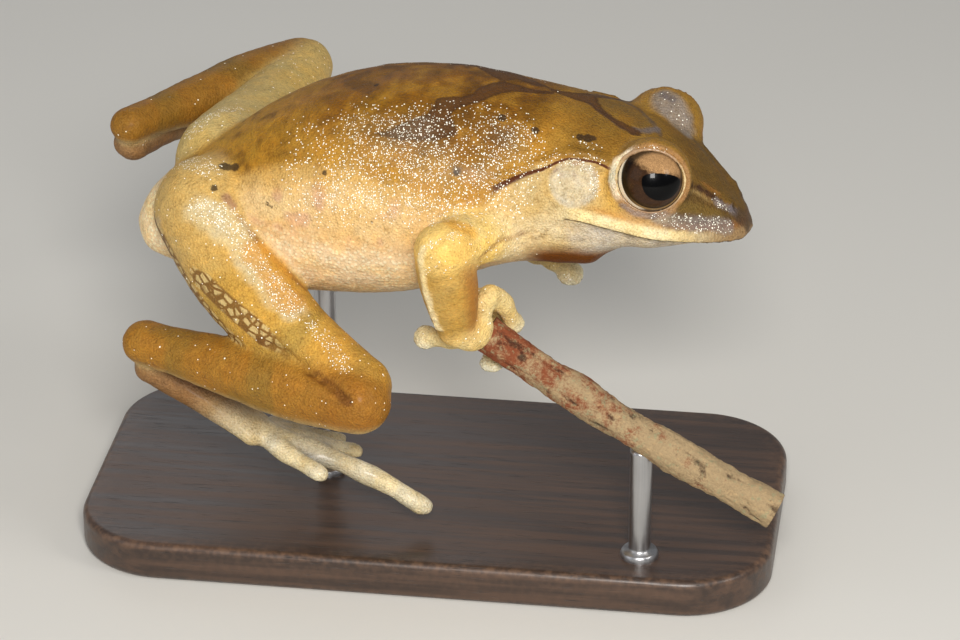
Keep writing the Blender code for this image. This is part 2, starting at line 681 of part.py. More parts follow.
def build():
    """Makes every piece."""
    for old in list(bpy.data.objects):
        bpy.data.objects.remove(old)
    parts = new_collection("spot_legged_tree_frog")
    flesh = material("skin", (0.42, 0.25, 0.06), 0.5)
    eye_finish = material("eye", (0.06, 0.025, 0.008), 0.05)
    bark = material("bark", (0.16, 0.07, 0.035), 0.8)
    steel = material("rod_steel", (0.55, 0.55, 0.55), 0.3, 1.0)
    board = material("base_board", (0.04, 0.035, 0.03), 0.4)

    torso = body_span("torso", BODY[0, 0], NECK - 0.5 * GAP / MM, parts)
    soft = [torso, make_head(parts)]
    eyes = [make_eye(-1, parts), make_eye(1, parts)]
    for which in ("right", "left"):
        upper = upper_arm(which, parts)
        cut(upper, [whole_body(parts, GAP / MM)])
        fore = forearm(which, parts)
        cut(fore, [upper_arm(which, parts, GAP), whole_body(parts, GAP / MM)])
        hand = make_hand(which, parts)
        cut(hand, [forearm(which, parts, GAP)])
        leg = thigh(which, parts)
        lower = shank(which, parts)
        cut(leg, [whole_body(parts, GAP / MM)])
        if which == "right":
            cut(hand, [make_twig(parts, GAP)])
            cut(leg, [shank(which, parts, GAP)])
        else:
            cut(lower, [thigh(which, parts, GAP)])
        foot = make_foot(which, parts)
        cut(foot, [shank(which, parts, GAP), thigh(which, parts, GAP)])
        soft += [upper, fore, hand, leg, lower, foot]
    twig = make_twig(parts)
    base = make_base(parts)
    x, y, top = at(*BELLY_ROD, BELLY_ROD_TOP)
    body_rod = make_rod("stand_rod_body", x, y, top, parts)
    cut(body_rod, [whole_body(parts, GAP / MM)])
    hold = twig_path()[round(TWIG_ROD_ALONG / TWIG_LENGTH * (TWIG_POINTS - 1))]
    perch_rod = make_rod("stand_rod_perch", hold[0], hold[1], hold[2], parts)
    cut(perch_rod, [make_twig(parts, GAP)])
    for body in soft:
        paint(body, flesh)
    for body in eyes:
        paint(body, eye_finish)
    paint(twig, bark)
    paint(base, board)
    paint(body_rod, steel)
    paint(perch_rod, steel)


build()
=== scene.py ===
"""Looks of a spot-legged tree frog that grips the broken end of a twig, on a plain display stand.

Lengths are millimetres from the point midway between the eyes, x to the snout, y to the animal's
left and z up, unless a name or a docstring says otherwise. Only when a mesh is made do they
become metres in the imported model's frame.
"""

import logging
import math
from dataclasses import dataclass, field
from enum import Enum
from itertools import product
from typing import Callable, Mapping, Optional, Sequence

import bpy
import numpy as np
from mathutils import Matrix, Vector

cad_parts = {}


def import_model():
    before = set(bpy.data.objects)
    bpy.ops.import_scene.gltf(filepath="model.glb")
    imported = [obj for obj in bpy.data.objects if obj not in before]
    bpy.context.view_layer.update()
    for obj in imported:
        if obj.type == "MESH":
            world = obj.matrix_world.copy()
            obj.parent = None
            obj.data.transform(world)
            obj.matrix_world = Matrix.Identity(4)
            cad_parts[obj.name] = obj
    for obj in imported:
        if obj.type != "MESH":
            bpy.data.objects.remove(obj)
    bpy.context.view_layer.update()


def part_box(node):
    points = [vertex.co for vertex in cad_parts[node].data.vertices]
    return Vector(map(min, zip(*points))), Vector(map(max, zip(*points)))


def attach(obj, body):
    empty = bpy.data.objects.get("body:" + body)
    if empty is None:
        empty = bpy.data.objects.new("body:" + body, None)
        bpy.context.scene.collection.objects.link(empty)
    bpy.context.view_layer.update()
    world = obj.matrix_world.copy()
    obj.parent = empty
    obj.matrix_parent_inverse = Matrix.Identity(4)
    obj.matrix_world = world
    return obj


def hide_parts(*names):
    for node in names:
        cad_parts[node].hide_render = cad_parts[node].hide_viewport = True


Array = np.ndarray
LOG = logging.getLogger("tree_frog")
MM = 0.001
FAR = 9.0
SIDES = {"right": -1, "left": 1}


# Numbers and curves


def unit(vector: Sequence[float]) -> Array:
    """The vector at length 1."""
    vector = np.asarray(vector, float)
    return vector / np.linalg.norm(vector)


def rise(low: float, high: float, value: Array) -> Array:
    """Soft step: 0 up to LOW, 1 from HIGH, and 3t^2 - 2t^3 between them."""
    share = np.clip((np.asarray(value, float) - low) / (high - low), 0, 1)
    return share * share * (3 - 2 * share)


def bell(value: Array, centre: float, width: float) -> Array:
    """Bell curve exp(-((value - centre) / width)^2)."""
    return np.exp(-((np.asarray(value) - centre) / width) ** 2)


def curve_rows(rows: Sequence[Sequence[float]], where: Array) -> Array:
    """Reads a table by a cubic through its rows, with each row's slope taken from its neighbours.

    Args:
        rows: place, then one or more values, in rising order of place.
        where: places to read.
    Returns:
        One row of values for each place.
    """
    table = np.asarray(rows, float)
    places, values = table[:, 0], table[:, 1:]
    slopes = np.gradient(values, places, axis=0)
    where = np.atleast_1d(where)
    start = np.clip(np.searchsorted(places, where) - 1, 0, len(places) - 2)
    width = (places[start + 1] - places[start])[:, None]
    t = (where - places[start])[:, None] / width
    middle = values[start] + (values[start + 1] - values[start]) * t * t * (3 - 2 * t)
    return middle + width * (slopes[start] * t * (1 - t) ** 2 - slopes[start + 1] * t ** 2 * (1 - t))


def through(stops: Sequence[Sequence[float]], count: int) -> Array:
    """COUNT points at even steps of length on a smooth curve through STOPS."""
    stops = np.asarray(stops, float)
    reach = np.concatenate(([0], np.cumsum(np.linalg.norm(np.diff(stops, axis=0), axis=1))))
    return curve_rows(np.column_stack((reach, stops)), np.linspace(0, reach[-1], count))


def lattice_noise(points: Array, size: float, seed: int = 0) -> Array:
    """Smooth noise from -1 to 1: hashed values at the corners of cells, mixed by soft weights.

    Args:
        points: places, one a row.
        size: edge of a cell.
        seed: picks another field.
    Returns:
        One value for each place.
    """
    place = np.asarray(points, float) / size
    cell = np.floor(place).astype(np.int64)
    part = place - cell
    part = part * part * (3 - 2 * part)
    total = np.zeros(len(place))
    for corner in product((0, 1), repeat=3):
        spot = cell + np.array(corner)
        key = spot[:, 0] * 73856093 ^ spot[:, 1] * 19349663 ^ spot[:, 2] * 83492791 ^ (seed * 2654435761)
        key = (key ^ (key >> 13)) * 1274126177 & 0x7FFFFFFF
        value = ((key ^ (key >> 11)) & 0xFFFF) / 32767.5 - 1
        total += value * np.prod(np.where(corner, part, 1 - part), axis=1)
    return total


def line_distance(points: Array, line: Sequence[Sequence[float]]) -> tuple[Array, Array]:
    """Distance from each point to a chain of straight pieces, and the share of its length there."""
    line = np.asarray(line, float)
    lengths = np.linalg.norm(np.diff(line, axis=0), axis=1)
    before = np.concatenate(([0], np.cumsum(lengths))) / lengths.sum()
    best = np.full(len(points), np.inf)
    share = np.zeros(len(points))
    for i, length in enumerate(lengths):
        way = (line[i + 1] - line[i]) / length
        along = np.clip((points - line[i]) @ way, 0, length)
        gap = np.linalg.norm(points - line[i] - np.outer(along, way), axis=1)
        nearer = gap < best
        best = np.where(nearer, gap, best)
        share = np.where(nearer, before[i] + along / length * (before[i + 1] - before[i]), share)
    return best, share


def outline_distance(points: Array, outline: Sequence[Sequence[float]]) -> Array:
    """Distance to a closed flat outline, positive inside, by crossings of a ray along x."""
    outline = np.asarray(outline, float)
    gap, _ = line_distance(points, np.vstack((outline, outline[:1])))
    inside = np.zeros(len(points), bool)
    for one, two in zip(outline, np.roll(outline, -1, axis=0)):
        spans = (one[1] > points[:, 1]) != (two[1] > points[:, 1])
        level = (points[:, 1] - one[1]) / (two[1] - one[1] + 1e-12)
        inside ^= spans & (points[:, 0] < one[0] + level * (two[0] - one[0]))
    return np.where(inside, gap, -gap)


def height_over(points: Array, line: Sequence[Sequence[float]]) -> Array:
    """How far points lie above a line that runs along x, square to the line as seen from its side."""
    line = np.asarray(line)[np.argsort(np.asarray(line)[:, 0])]
    level = np.interp(points[:, 0], line[:, 0], line[:, 2])
    slope = np.interp(points[:, 0], line[:, 0], np.gradient(line[:, 2], line[:, 0]))
    return (points[:, 2] - level) / np.hypot(1, slope)


def to_right(points: Array) -> Array:
    """Points with those on the left side mirrored to the right one."""
    return np.column_stack((points[:, 0], -np.abs(points[:, 1]), points[:, 2]))


def blended(base: Array, colour: Array, share: Array) -> Array:
    """BASE mixed towards COLOUR, with one share for each point."""
    return base + (colour - base) * np.asarray(share)[:, None]


def layered(base: Array, *layers: tuple[Sequence[int], Array]) -> Array:
    """BASE under layers of a screen colour and its share, each mixed over those before it."""
    for colour, share in layers:
        base = blended(base, tone(*colour), share)
    return base


def clouded(points: Array, one: Sequence[int], two: Sequence[int], size: float, seed: int) -> Array:
    """Screen colour ONE with soft clouds of TWO, each about SIZE wide."""
    return blended(tone(*one), tone(*two), 0.5 + 0.5 * lattice_noise(points, size, seed))


# Meshes


@dataclass(frozen=True)
class Place:
    """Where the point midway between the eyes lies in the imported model, in metres."""

    origin: Array

    @classmethod
    def of_frame(cls) -> "Place":
        """Reads it from the boxes of the two eyes."""
        corners = [np.array(corner) for name in ("eye_right", "eye_left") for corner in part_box(name)]
        return cls(np.mean(corners, axis=0))

    def metres(self, points: Array) -> Array:
        """Points in the model's frame, in metres."""
        return np.asarray(points, float) * MM + self.origin

    def millimetres(self, points: Array) -> Array:
        """Points of the model's frame as this file's millimetres."""
        return (np.asarray(points, float) - self.origin) / MM


@dataclass
class Surface:
    """Points and faces of one piece, and the values that its finish reads at each point."""

    points: Array
    faces: list[Array]
    values: dict[str, Array] = field(default_factory=dict)

    def normals(self) -> Array:
        """Unit normals at the points: the sum of the cross products of each face's diagonals."""
        total = np.zeros_like(self.points)
        for group in self.faces:
            corners = self.points[group]
            last = corners[:, 3] if group.shape[1] == 4 else corners[:, 0]
            cross = np.cross(corners[:, 2] - corners[:, 0], last - corners[:, 1])
            for k in range(3):
                for column in group.T:
                    total[:, k] += np.bincount(column, cross[:, k], len(self.points))
        return total / np.maximum(np.linalg.norm(total, axis=1), 1e-12)[:, None]

    def relaxed(self, rounds: int, inward: float = 0.5, outward: float = -0.52) -> None:
        """Evens out the points: each moves towards the mean of its neighbours, then a little back."""
        pairs = np.vstack([np.column_stack((g[:, k], np.roll(g, -1, 1)[:, k])) for g in self.faces
                           for k in range(g.shape[1])])
        one, two = pairs.T
        count = np.bincount(one, minlength=len(self.points)) + np.bincount(two, minlength=len(self.points))
        for turn in range(rounds * 2):
            share = inward if turn % 2 == 0 else outward
            for k in range(3):
                column = self.points[:, k]
                total = np.bincount(one, column[two], len(column))
                total = total + np.bincount(two, column[one], len(column))
                self.points[:, k] = column + share * (total / np.maximum(count, 1) - column)

    def made(self, name: str, place: Place, finish: bpy.types.Material) -> bpy.types.Object:
        """Puts the surface in the scene in metres, with its values as attributes."""
        mesh = bpy.data.meshes.new(name)
        faces = [row for group in self.faces for row in group.tolist()]
        mesh.from_pydata(place.metres(self.points).tolist(), [], faces)
        for key, value in self.values.items():
            kind = "FLOAT_COLOR" if value.ndim == 2 else "FLOAT"
            layer = mesh.attributes.new(key, kind, "POINT")
            if value.ndim == 2:
                flat = np.column_stack((value, np.ones(len(value)))).astype(np.float32)
                layer.data.foreach_set("color", flat.ravel())
            else:
                layer.data.foreach_set("value", value.astype(np.float32))
        mesh.validate()
        mesh.shade_smooth()
        mesh.materials.append(finish)
        piece = bpy.data.objects.new(name, mesh)
        bpy.context.scene.collection.objects.link(piece)
        return piece


def sheet_of(grid: Array, closed: bool = True, poles: bool = True) -> Surface:
    """Surface on a grid of points; a closed one joins its last column to its first.

    Args:
        grid: rows by columns by 3, with the faces outwards where columns turn left about the rows.
        closed: whether the columns go round.
        poles: whether the first and last row are closed with a point at their middle.
    Returns:
        The surface.
    """
    rows, columns = grid.shape[:2]
    points = grid.reshape(-1, 3)
    number = np.arange(rows * columns).reshape(rows, columns)
    right = np.roll(number, -1, axis=1)
    if not closed:
        number, right = number[:, :-1], right[:, :-1]
    quads = np.stack((number[:-1], right[:-1], right[1:], number[1:]), axis=-1).reshape(-1, 4)
    faces = [quads]
    if poles:
        low, high = len(points), len(points) + 1
        points = np.vstack((points, grid[0].mean(0), grid[-1].mean(0)))
        first = np.column_stack((np.full(columns, low), right[0], number[0]))
        last = np.column_stack((np.full(columns, high), number[-1], right[-1]))
        faces.append(np.vstack((first, last)))
    return Surface(points, faces)


def directions_along(path: Array, flat: Sequence[float]) -> tuple[Array, Array]:
    """At each point of PATH the way across both it and FLAT, and the way nearest FLAT."""
    ahead = np.gradient(path, axis=0)
    ahead /= np.linalg.norm(ahead, axis=1)[:, None]
    across = np.cross(ahead, flat)
    across /= np.linalg.norm(across, axis=1)[:, None]
    return across, np.cross(across, ahead)


def swept(path: Array, radius: Array, columns: int, flat: Sequence[float] = (0, 0, 1)) -> Surface:
    """Closed tube: round sections of the given radii, one for each path point and each column."""
    across, up = directions_along(path, flat)
    turn = np.linspace(0, 2 * math.pi, columns, endpoint=False)
    radius = np.broadcast_to(np.asarray(radius, float).reshape(len(path), -1), (len(path), columns))
    ring = np.cos(turn)[None, :, None] * across[:, None] + np.sin(turn)[None, :, None] * up[:, None]
    surface = sheet_of(path[:, None] + radius[:, :, None] * ring)
    for group in surface.faces:
        group[:] = group[:, ::-1]
    return surface


# Forms that the skin is joined from


class Form:
    """A solid known by its distance: negative inside, positive outside, 0 on its surface."""

    low: Array
    high: Array

    def distance(self, x: Array, y: Array, z: Array) -> Array:
        """Distance of the places with these coordinates, which broadcast."""
        raise NotImplementedError


@dataclass
class Trunk(Form):
    """Head and trunk: superellipse sections at places along x, each with its half width at its widest
    place and just under it, the level of the widest place, top and bottom."""

    rows: Sequence[Sequence[float]]
    roundness: float = 2.15
    samples: int = 1600
    lip_depth: float = 0.42

    def __post_init__(self) -> None:
        """Reads the sections at close steps."""
        table = np.asarray(self.rows, float)
        self.x = np.linspace(table[0, 0], table[-1, 0], self.samples)
        self.wide, self.under, self.height, self.top, self.bottom = curve_rows(table, self.x).T
        mean = (self.wide + (self.top - self.bottom) / 2) / 2
        self.lean = 1 / np.hypot(1, np.gradient(mean, self.x))
        self.low = np.array((self.x[0], -self.wide.max(), self.bottom.min()))
        self.high = np.array((self.x[-1], self.wide.max(), self.top.max()))

    def level(self, x: Array) -> Array:
        """Height of the widest place at x, which on the head is the line of the mouth."""
        return np.interp(x, self.x, self.height)

    def half_width(self, x: Array, lift: Array) -> Array:
        """Half width at x for places LIFT over the widest place; under the lip it narrows to the jaw."""
        wide = np.interp(x, self.x, self.wide)
        under = np.interp(x, self.x, self.under)
        return np.maximum(under + (wide - under) * rise(-self.lip_depth, -0.1, lift), 0.02)

    def reach(self, x: Array, lift: Array) -> Array:
        """Height of the section at x over its widest place, or its depth under it."""
        over = np.interp(x, self.x, self.top - self.height)
        return np.maximum(np.where(lift > 0, over, np.interp(x, self.x, self.height - self.bottom)), 0.02)

    def distance(self, x: Array, y: Array, z: Array) -> Array:
        """Reach from the middle line times 1 - 1 / k, where k is 1 on the section's edge."""
        lift = z - self.level(x)
        share = (np.abs(y) / self.half_width(x, lift)) ** self.roundness
        share = share + (np.abs(lift) / self.reach(x, lift)) ** self.roundness
        share = np.maximum(share, 1e-9) ** (1 / self.roundness)
        inside = np.hypot(y, lift) * (1 - 1 / share) * np.interp(x, self.x, self.lean)
        beyond = np.maximum(self.x[0] - x, x - self.x[-1])
        return np.where(beyond > 0, np.hypot(np.maximum(inside, 0), beyond), inside)

    def turn(self, points: Array) -> Array:
        """Angle of each point round the body in degrees: 0 at the widest place, 90 on the back."""
        x = points[:, 0]
        lift = points[:, 2] - self.level(x)
        wide = np.maximum(np.interp(x, self.x, self.wide), 0.05)
        return np.degrees(np.arctan2(lift / self.reach(x, lift), np.abs(points[:, 1]) / wide))

    def place(self, x: float, turn: float, side: int) -> Array:
        """Point of the surface at x and at the angle TURN up from the widest place."""
        power = 2 / self.roundness
        level = float(self.level(x))
        wide = float(np.interp(x, self.x, self.wide))
        return np.array((x, side * wide * math.cos(turn) ** power,
                         level + float(self.reach(x, 1.0)) * math.sin(turn) ** power))


@dataclass
class Ball(Form):
    """Ellipsoid with the half axes given as rows."""

    centre: Sequence[float]
    axes: Array

    def __post_init__(self) -> None:
        """Finds its box."""
        self.centre = np.asarray(self.centre, float)
        self.axes = np.asarray(self.axes, float)
        if self.axes.ndim == 0:
            self.axes = np.eye(3) * float(self.axes)
        reach = np.abs(self.axes).sum(0)
        self.low, self.high = self.centre - reach, self.centre + reach
        self.inverse = np.linalg.inv(self.axes)

    def distance(self, x: Array, y: Array, z: Array) -> Array:
        """Reach from the centre times 1 - 1 / k, where k is 1 on the surface."""
        x, y, z = x - self.centre[0], y - self.centre[1], z - self.centre[2]
        share = 0
        for k in range(3):
            one, two, three = self.inverse[:, k]
            share = share + (x * one + y * two + z * three) ** 2
        share = np.sqrt(np.maximum(share, 1e-9))
        return np.sqrt(x * x + y * y + z * z) * (1 - 1 / share)


@dataclass
class Opening(Form):
    """Cone about an axis from the centre of the eyeball, wider than high, that opens further past RIM."""

    centre: Array
    axis: Array
    forward: Array
    up: Array
    half_angle: float
    flatness: float
    rim: float
    reach: float = 7.0

    def __post_init__(self) -> None:
        """Finds the box in which it cuts."""
        self.low, self.high = self.centre - self.reach, self.centre + self.reach

    def distance(self, x: Array, y: Array, z: Array) -> Array:
        """Distance to the cone's side: across times cos of its half angle less along times sin, and
        past the rim as much more as the place lies beyond it."""
        x, y, z = x - self.centre[0], y - self.centre[1], z - self.centre[2]
        ways = (self.axis, self.forward, self.up)
        along, ahead, lift = (x * way[0] + y * way[1] + z * way[2] for way in ways)
        across = np.hypot(ahead, lift * self.flatness)
        beyond = np.maximum(np.sqrt(x * x + y * y + z * z) - self.rim, 0)
        return across * math.cos(self.half_angle) - along * math.sin(self.half_angle) + beyond


@dataclass
class Limb(Form):
    """Limb part along a path, with a half width across it and a half depth towards FLAT."""

    path: Array
    wide: Array
    deep: Array
    flat: Sequence[float] = (0, 0, 1)

    def __post_init__(self) -> None:
        """Finds its box and the directions of its sections."""
        self.wide = np.broadcast_to(np.asarray(self.wide, float), (len(self.path),))
        self.deep = np.broadcast_to(np.asarray(self.deep, float), (len(self.path),))
        reach = np.maximum(self.wide, self.deep)[:, None]
        self.low = (self.path - reach).min(0)
        self.high = (self.path + reach).max(0)

    @classmethod
    def straight(cls, start: Sequence[float], end: Sequence[float], profile: Sequence[Sequence[float]],
                 flat: Sequence[float] = (0, 0, 1), bow: Sequence[float] = (0, 0, 0),
                 scale: float = 1.0) -> "Limb":
        """Part between two joints, thick as PROFILE says at shares of its length, bent towards BOW."""
        share = np.linspace(0, 1, 14)
        wide, deep = curve_rows(profile, share).T * scale
        start = np.asarray(start, float)
        path = start + np.outer(share, np.asarray(end) - start) + np.outer(np.sin(math.pi * share), bow)
        return cls(path, wide, deep, flat)

    def distance(self, x: Array, y: Array, z: Array) -> Array:
        """Least over the path's pieces of the reach from the piece times 1 - 1 / k."""
        best = None
        for i in range(len(self.path) - 1):
            step = self.path[i + 1] - self.path[i]
            length = np.linalg.norm(step)
            ahead = step / length
            across = unit(np.cross(ahead, self.flat))
            up = np.cross(across, ahead)
            qx, qy, qz = x - self.path[i, 0], y - self.path[i, 1], z - self.path[i, 2]
            along = qx * ahead[0] + qy * ahead[1] + qz * ahead[2]
            share = np.clip(along / length, 0, 1)
            left = along - share * length
            side = qx * across[0] + qy * across[1] + qz * across[2]
            lift = qx * up[0] + qy * up[1] + qz * up[2]
            wide = self.wide[i] + share * (self.wide[i + 1] - self.wide[i])
            deep = self.deep[i] + share * (self.deep[i + 1] - self.deep[i])
            ratio = (side / wide) ** 2 + (lift / deep) ** 2 + (left / np.minimum(wide, deep)) ** 2
            ratio = np.sqrt(np.maximum(ratio, 1e-9))
            gap = np.sqrt(side ** 2 + lift ** 2 + left ** 2) * (1 - 1 / ratio)
            best = gap if best is None else np.minimum(best, gap)
        return best

    def locate(self, points: Array) -> tuple[Array, Array]:
        """Share of the length nearest each point, and the way out from the path over the radius."""
        best, share = line_distance(points, self.path)
        steps = np.linspace(0, 1, len(self.path))
        foot = np.column_stack([np.interp(share, steps, self.path[:, k]) for k in range(3)])
        radius = np.interp(share, steps, (self.wide + self.deep) / 2)
        return share, (points - foot) / radius[:, None]


@dataclass
class Film(Form):
    """Thin sheet known by close points on it, each a small ball; only places near it are measured."""

    points: Array
    half: float

    def __post_init__(self) -> None:
        """Finds its box."""
        self.low = self.points.min(0) - self.half
        self.high = self.points.max(0) + self.half

    def distance(self, x: Array, y: Array, z: Array) -> Array:
        """Least distance to the points less the half thickness, in the few cells about each."""
        axes = [x.ravel(), y.ravel(), z.ravel()]
        result = np.full([len(a) for a in axes], FAR, np.float32)
        reach = 3
        start = np.stack([np.searchsorted(a, self.points[:, k]) for k, a in enumerate(axes)], axis=-1)
        offsets = np.array(list(product(range(-reach, reach), repeat=3)))
        cells = start[:, None] + offsets[None]
        for k, a in enumerate(axes):
            cells[..., k] = np.clip(cells[..., k], 0, len(a) - 1)
        spots = np.stack([axes[k][cells[..., k]] for k in range(3)], axis=-1)
        gap = np.linalg.norm(spots - self.points[:, None], axis=-1) - self.half
        flat = np.ravel_multi_index(tuple(cells.reshape(-1, 3).T), result.shape)
        np.minimum.at(result.reshape(-1), flat, gap.ravel().astype(np.float32))
        return result


class Volume:
    """Distances on a box grid with uneven steps; the skin lies where they cross 0."""

    def __init__(self, spans: Sequence[Sequence[tuple[float, float, float]]]) -> None:
        """SPANS gives for x, y and z the runs of (start, end, step)."""
        self.axes = []
        for runs in spans:
            parts = [np.linspace(a, b, max(2, round((b - a) / s) + 1))[:-1] for a, b, s in runs]
            self.axes.append(np.append(np.concatenate(parts), runs[-1][1]))
        self.field = np.full([len(a) for a in self.axes], FAR, np.float32)

    def window(self, form: Form, margin: float) -> tuple[tuple[slice, ...], list[Array]]:
        """The part of the grid about a form, and its open coordinates."""
        cut = []
        for k, axis in enumerate(self.axes):
            start, stop = np.searchsorted(axis, (form.low[k] - margin, form.high[k] + margin))
            cut.append(slice(max(0, start - 1), min(len(axis), stop + 1)))
        return tuple(cut), np.ix_(*[axis[part] for axis, part in zip(self.axes, cut)])

    def join(self, form: Form, blend: float) -> None:
        """Adds a form: the smaller distance, rounded where the two differ by less than BLEND."""
        cut, places = self.window(form, blend + 0.8)
        gap = form.distance(*places)
        old = self.field[cut]
        share = np.clip(0.5 + 0.5 * (old - gap) / blend, 0, 1)
        self.field[cut] = old + (gap - old) * share - blend * share * (1 - share)

    def carve(self, form: Form, blend: float) -> None:
        """Takes a form away: the larger of the distance and the form's distance turned round."""
        cut, places = self.window(form, 0.0)
        gap = -form.distance(*places)
        old = self.field[cut]
        share = np.clip(0.5 - 0.5 * (old - gap) / blend, 0, 1)
        self.field[cut] = old + (gap - old) * share + blend * share * (1 - share)

    def skin(self) -> Surface:
        """Quads where the distances cross 0.

        Each cell that the surface crosses gets one point, the mean of the crossings on its edges,
        and each grid edge that is crossed gets one quad between the four cells about it.
        Returns:
            The surface, its faces outwards.
        """
        inside = self.field < 0
        shape = np.array(inside.shape) - 1
        corners = np.zeros(shape, np.int8)
        for shift in product((0, 1), repeat=3):
            corners += inside[tuple(slice(s, s + n) for s, n in zip(shift, shape))]
        active = (corners > 0) & (corners < 8)
        place = np.argwhere(active)
        number = np.full(active.shape, -1, np.int32)
        number[active] = np.arange(len(place))
        total = np.zeros((len(place), 3))
        hits = np.zeros(len(place))
        for axis in range(3):
            others = [k for k in range(3) if k != axis]
            for shift in product((0, 1), repeat=2):
                start = place.copy()
                start[:, others] += shift
                stop = start.copy()
                stop[:, axis] += 1
                one, two = self.field[tuple(start.T)], self.field[tuple(stop.T)]
                crossed = (one < 0) != (two < 0)
                share = one / np.where(crossed, one - two, 1)
                for k in range(3):
                    a, b = self.axes[k][start[:, k]], self.axes[k][stop[:, k]]
                    total[:, k] += np.where(crossed, a + share * (b - a), 0)
                hits += crossed
        quads = []
        for axis in range(3):
            side, lift = (axis + 1) % 3, (axis + 2) % 3
            lower = np.take(inside, range(shape[axis]), axis)
            upper = np.take(inside, range(1, shape[axis] + 1), axis)
            edge = np.argwhere(lower != upper)
            keep = np.all(edge[:, [side, lift]] > 0, axis=1)
            keep &= np.all(edge[:, [side, lift]] < shape[[side, lift]], axis=1)
            edge = edge[keep]
            ring = []
            for a, b in ((1, 1), (0, 1), (0, 0), (1, 0)):
                cell = edge.copy()
                cell[:, side] -= a
                cell[:, lift] -= b
                ring.append(number[tuple(cell.T)])
            ring = np.stack(ring, axis=-1)
            outward = lower[tuple(edge.T)]
            quads.append(np.where(outward[:, None], ring, ring[:, ::-1]))
        return Surface(total / hits[:, None], [np.vstack(quads)])


# Shaders


def tone(red: int, green: int, blue: int) -> Array:
    """Linear colour of a screen colour given from 0 to 255."""
    screen = np.array((red, green, blue)) / 255
    return np.where(screen <= 0.04045, screen / 12.92, ((screen + 0.055) / 1.055) ** 2.4)


def toned(red: int, green: int, blue: int) -> Array:
    """Field of a finish that holds one screen colour."""
    return field(default_factory=lambda: tone(red, green, blue))


class Value:
    """One shader value; Python's operators on it add Math nodes."""

    def __init__(self, shader: "Shader", socket: bpy.types.NodeSocket) -> None:
        """Keeps the socket and the shader that it belongs to."""
        self.shader = shader
        self.socket = socket

    def _math(self, operation: str, first: object, second: object) -> "Value":
        """A Math node on two values or numbers."""
        return self.shader.node("ShaderNodeMath", {"operation": operation}, {0: first, 1: second})

    def __add__(self, other: object) -> "Value":
        """Sum."""
        return self._math("ADD", self, other)

    __radd__ = __add__

    def __sub__(self, other: object) -> "Value":
        """Difference."""
        return self._math("SUBTRACT", self, other)

    def __rsub__(self, other: object) -> "Value":
        """Difference the other way round."""
        return self._math("SUBTRACT", other, self)

    def __mul__(self, other: object) -> "Value":
        """Product."""
        return self._math("MULTIPLY", self, other)

    __rmul__ = __mul__

    def __truediv__(self, other: object) -> "Value":
        """Quotient."""
        return self._math("DIVIDE", self, other)

    def __pow__(self, other: object) -> "Value":
        """Power."""
        return self._math("POWER", self, other)

    def __abs__(self) -> "Value":
        """Size without its sign."""
        return self._math("ABSOLUTE", self, 0.0)

    def at_least(self, other: object) -> "Value":
        """The larger of the two."""
        return self._math("MAXIMUM", self, other)

    def at_most(self, other: object) -> "Value":
        """The smaller of the two."""
        return self._math("MINIMUM", self, other)

    def below(self, other: object) -> "Value":
        """1 where this is below the other, else 0."""
        return self._math("LESS_THAN", self, other)

    def ramp(self, low: float, high: float, start: float = 0.0, end: float = 1.0) -> "Value":
        """Soft step from START at LOW to END at HIGH."""
        return self.shader.node("ShaderNodeMapRange", {"interpolation_type": "SMOOTHSTEP"},
                                {"Value": self, "From Min": low, "From Max": high,
                                 "To Min": start, "To Max": end})


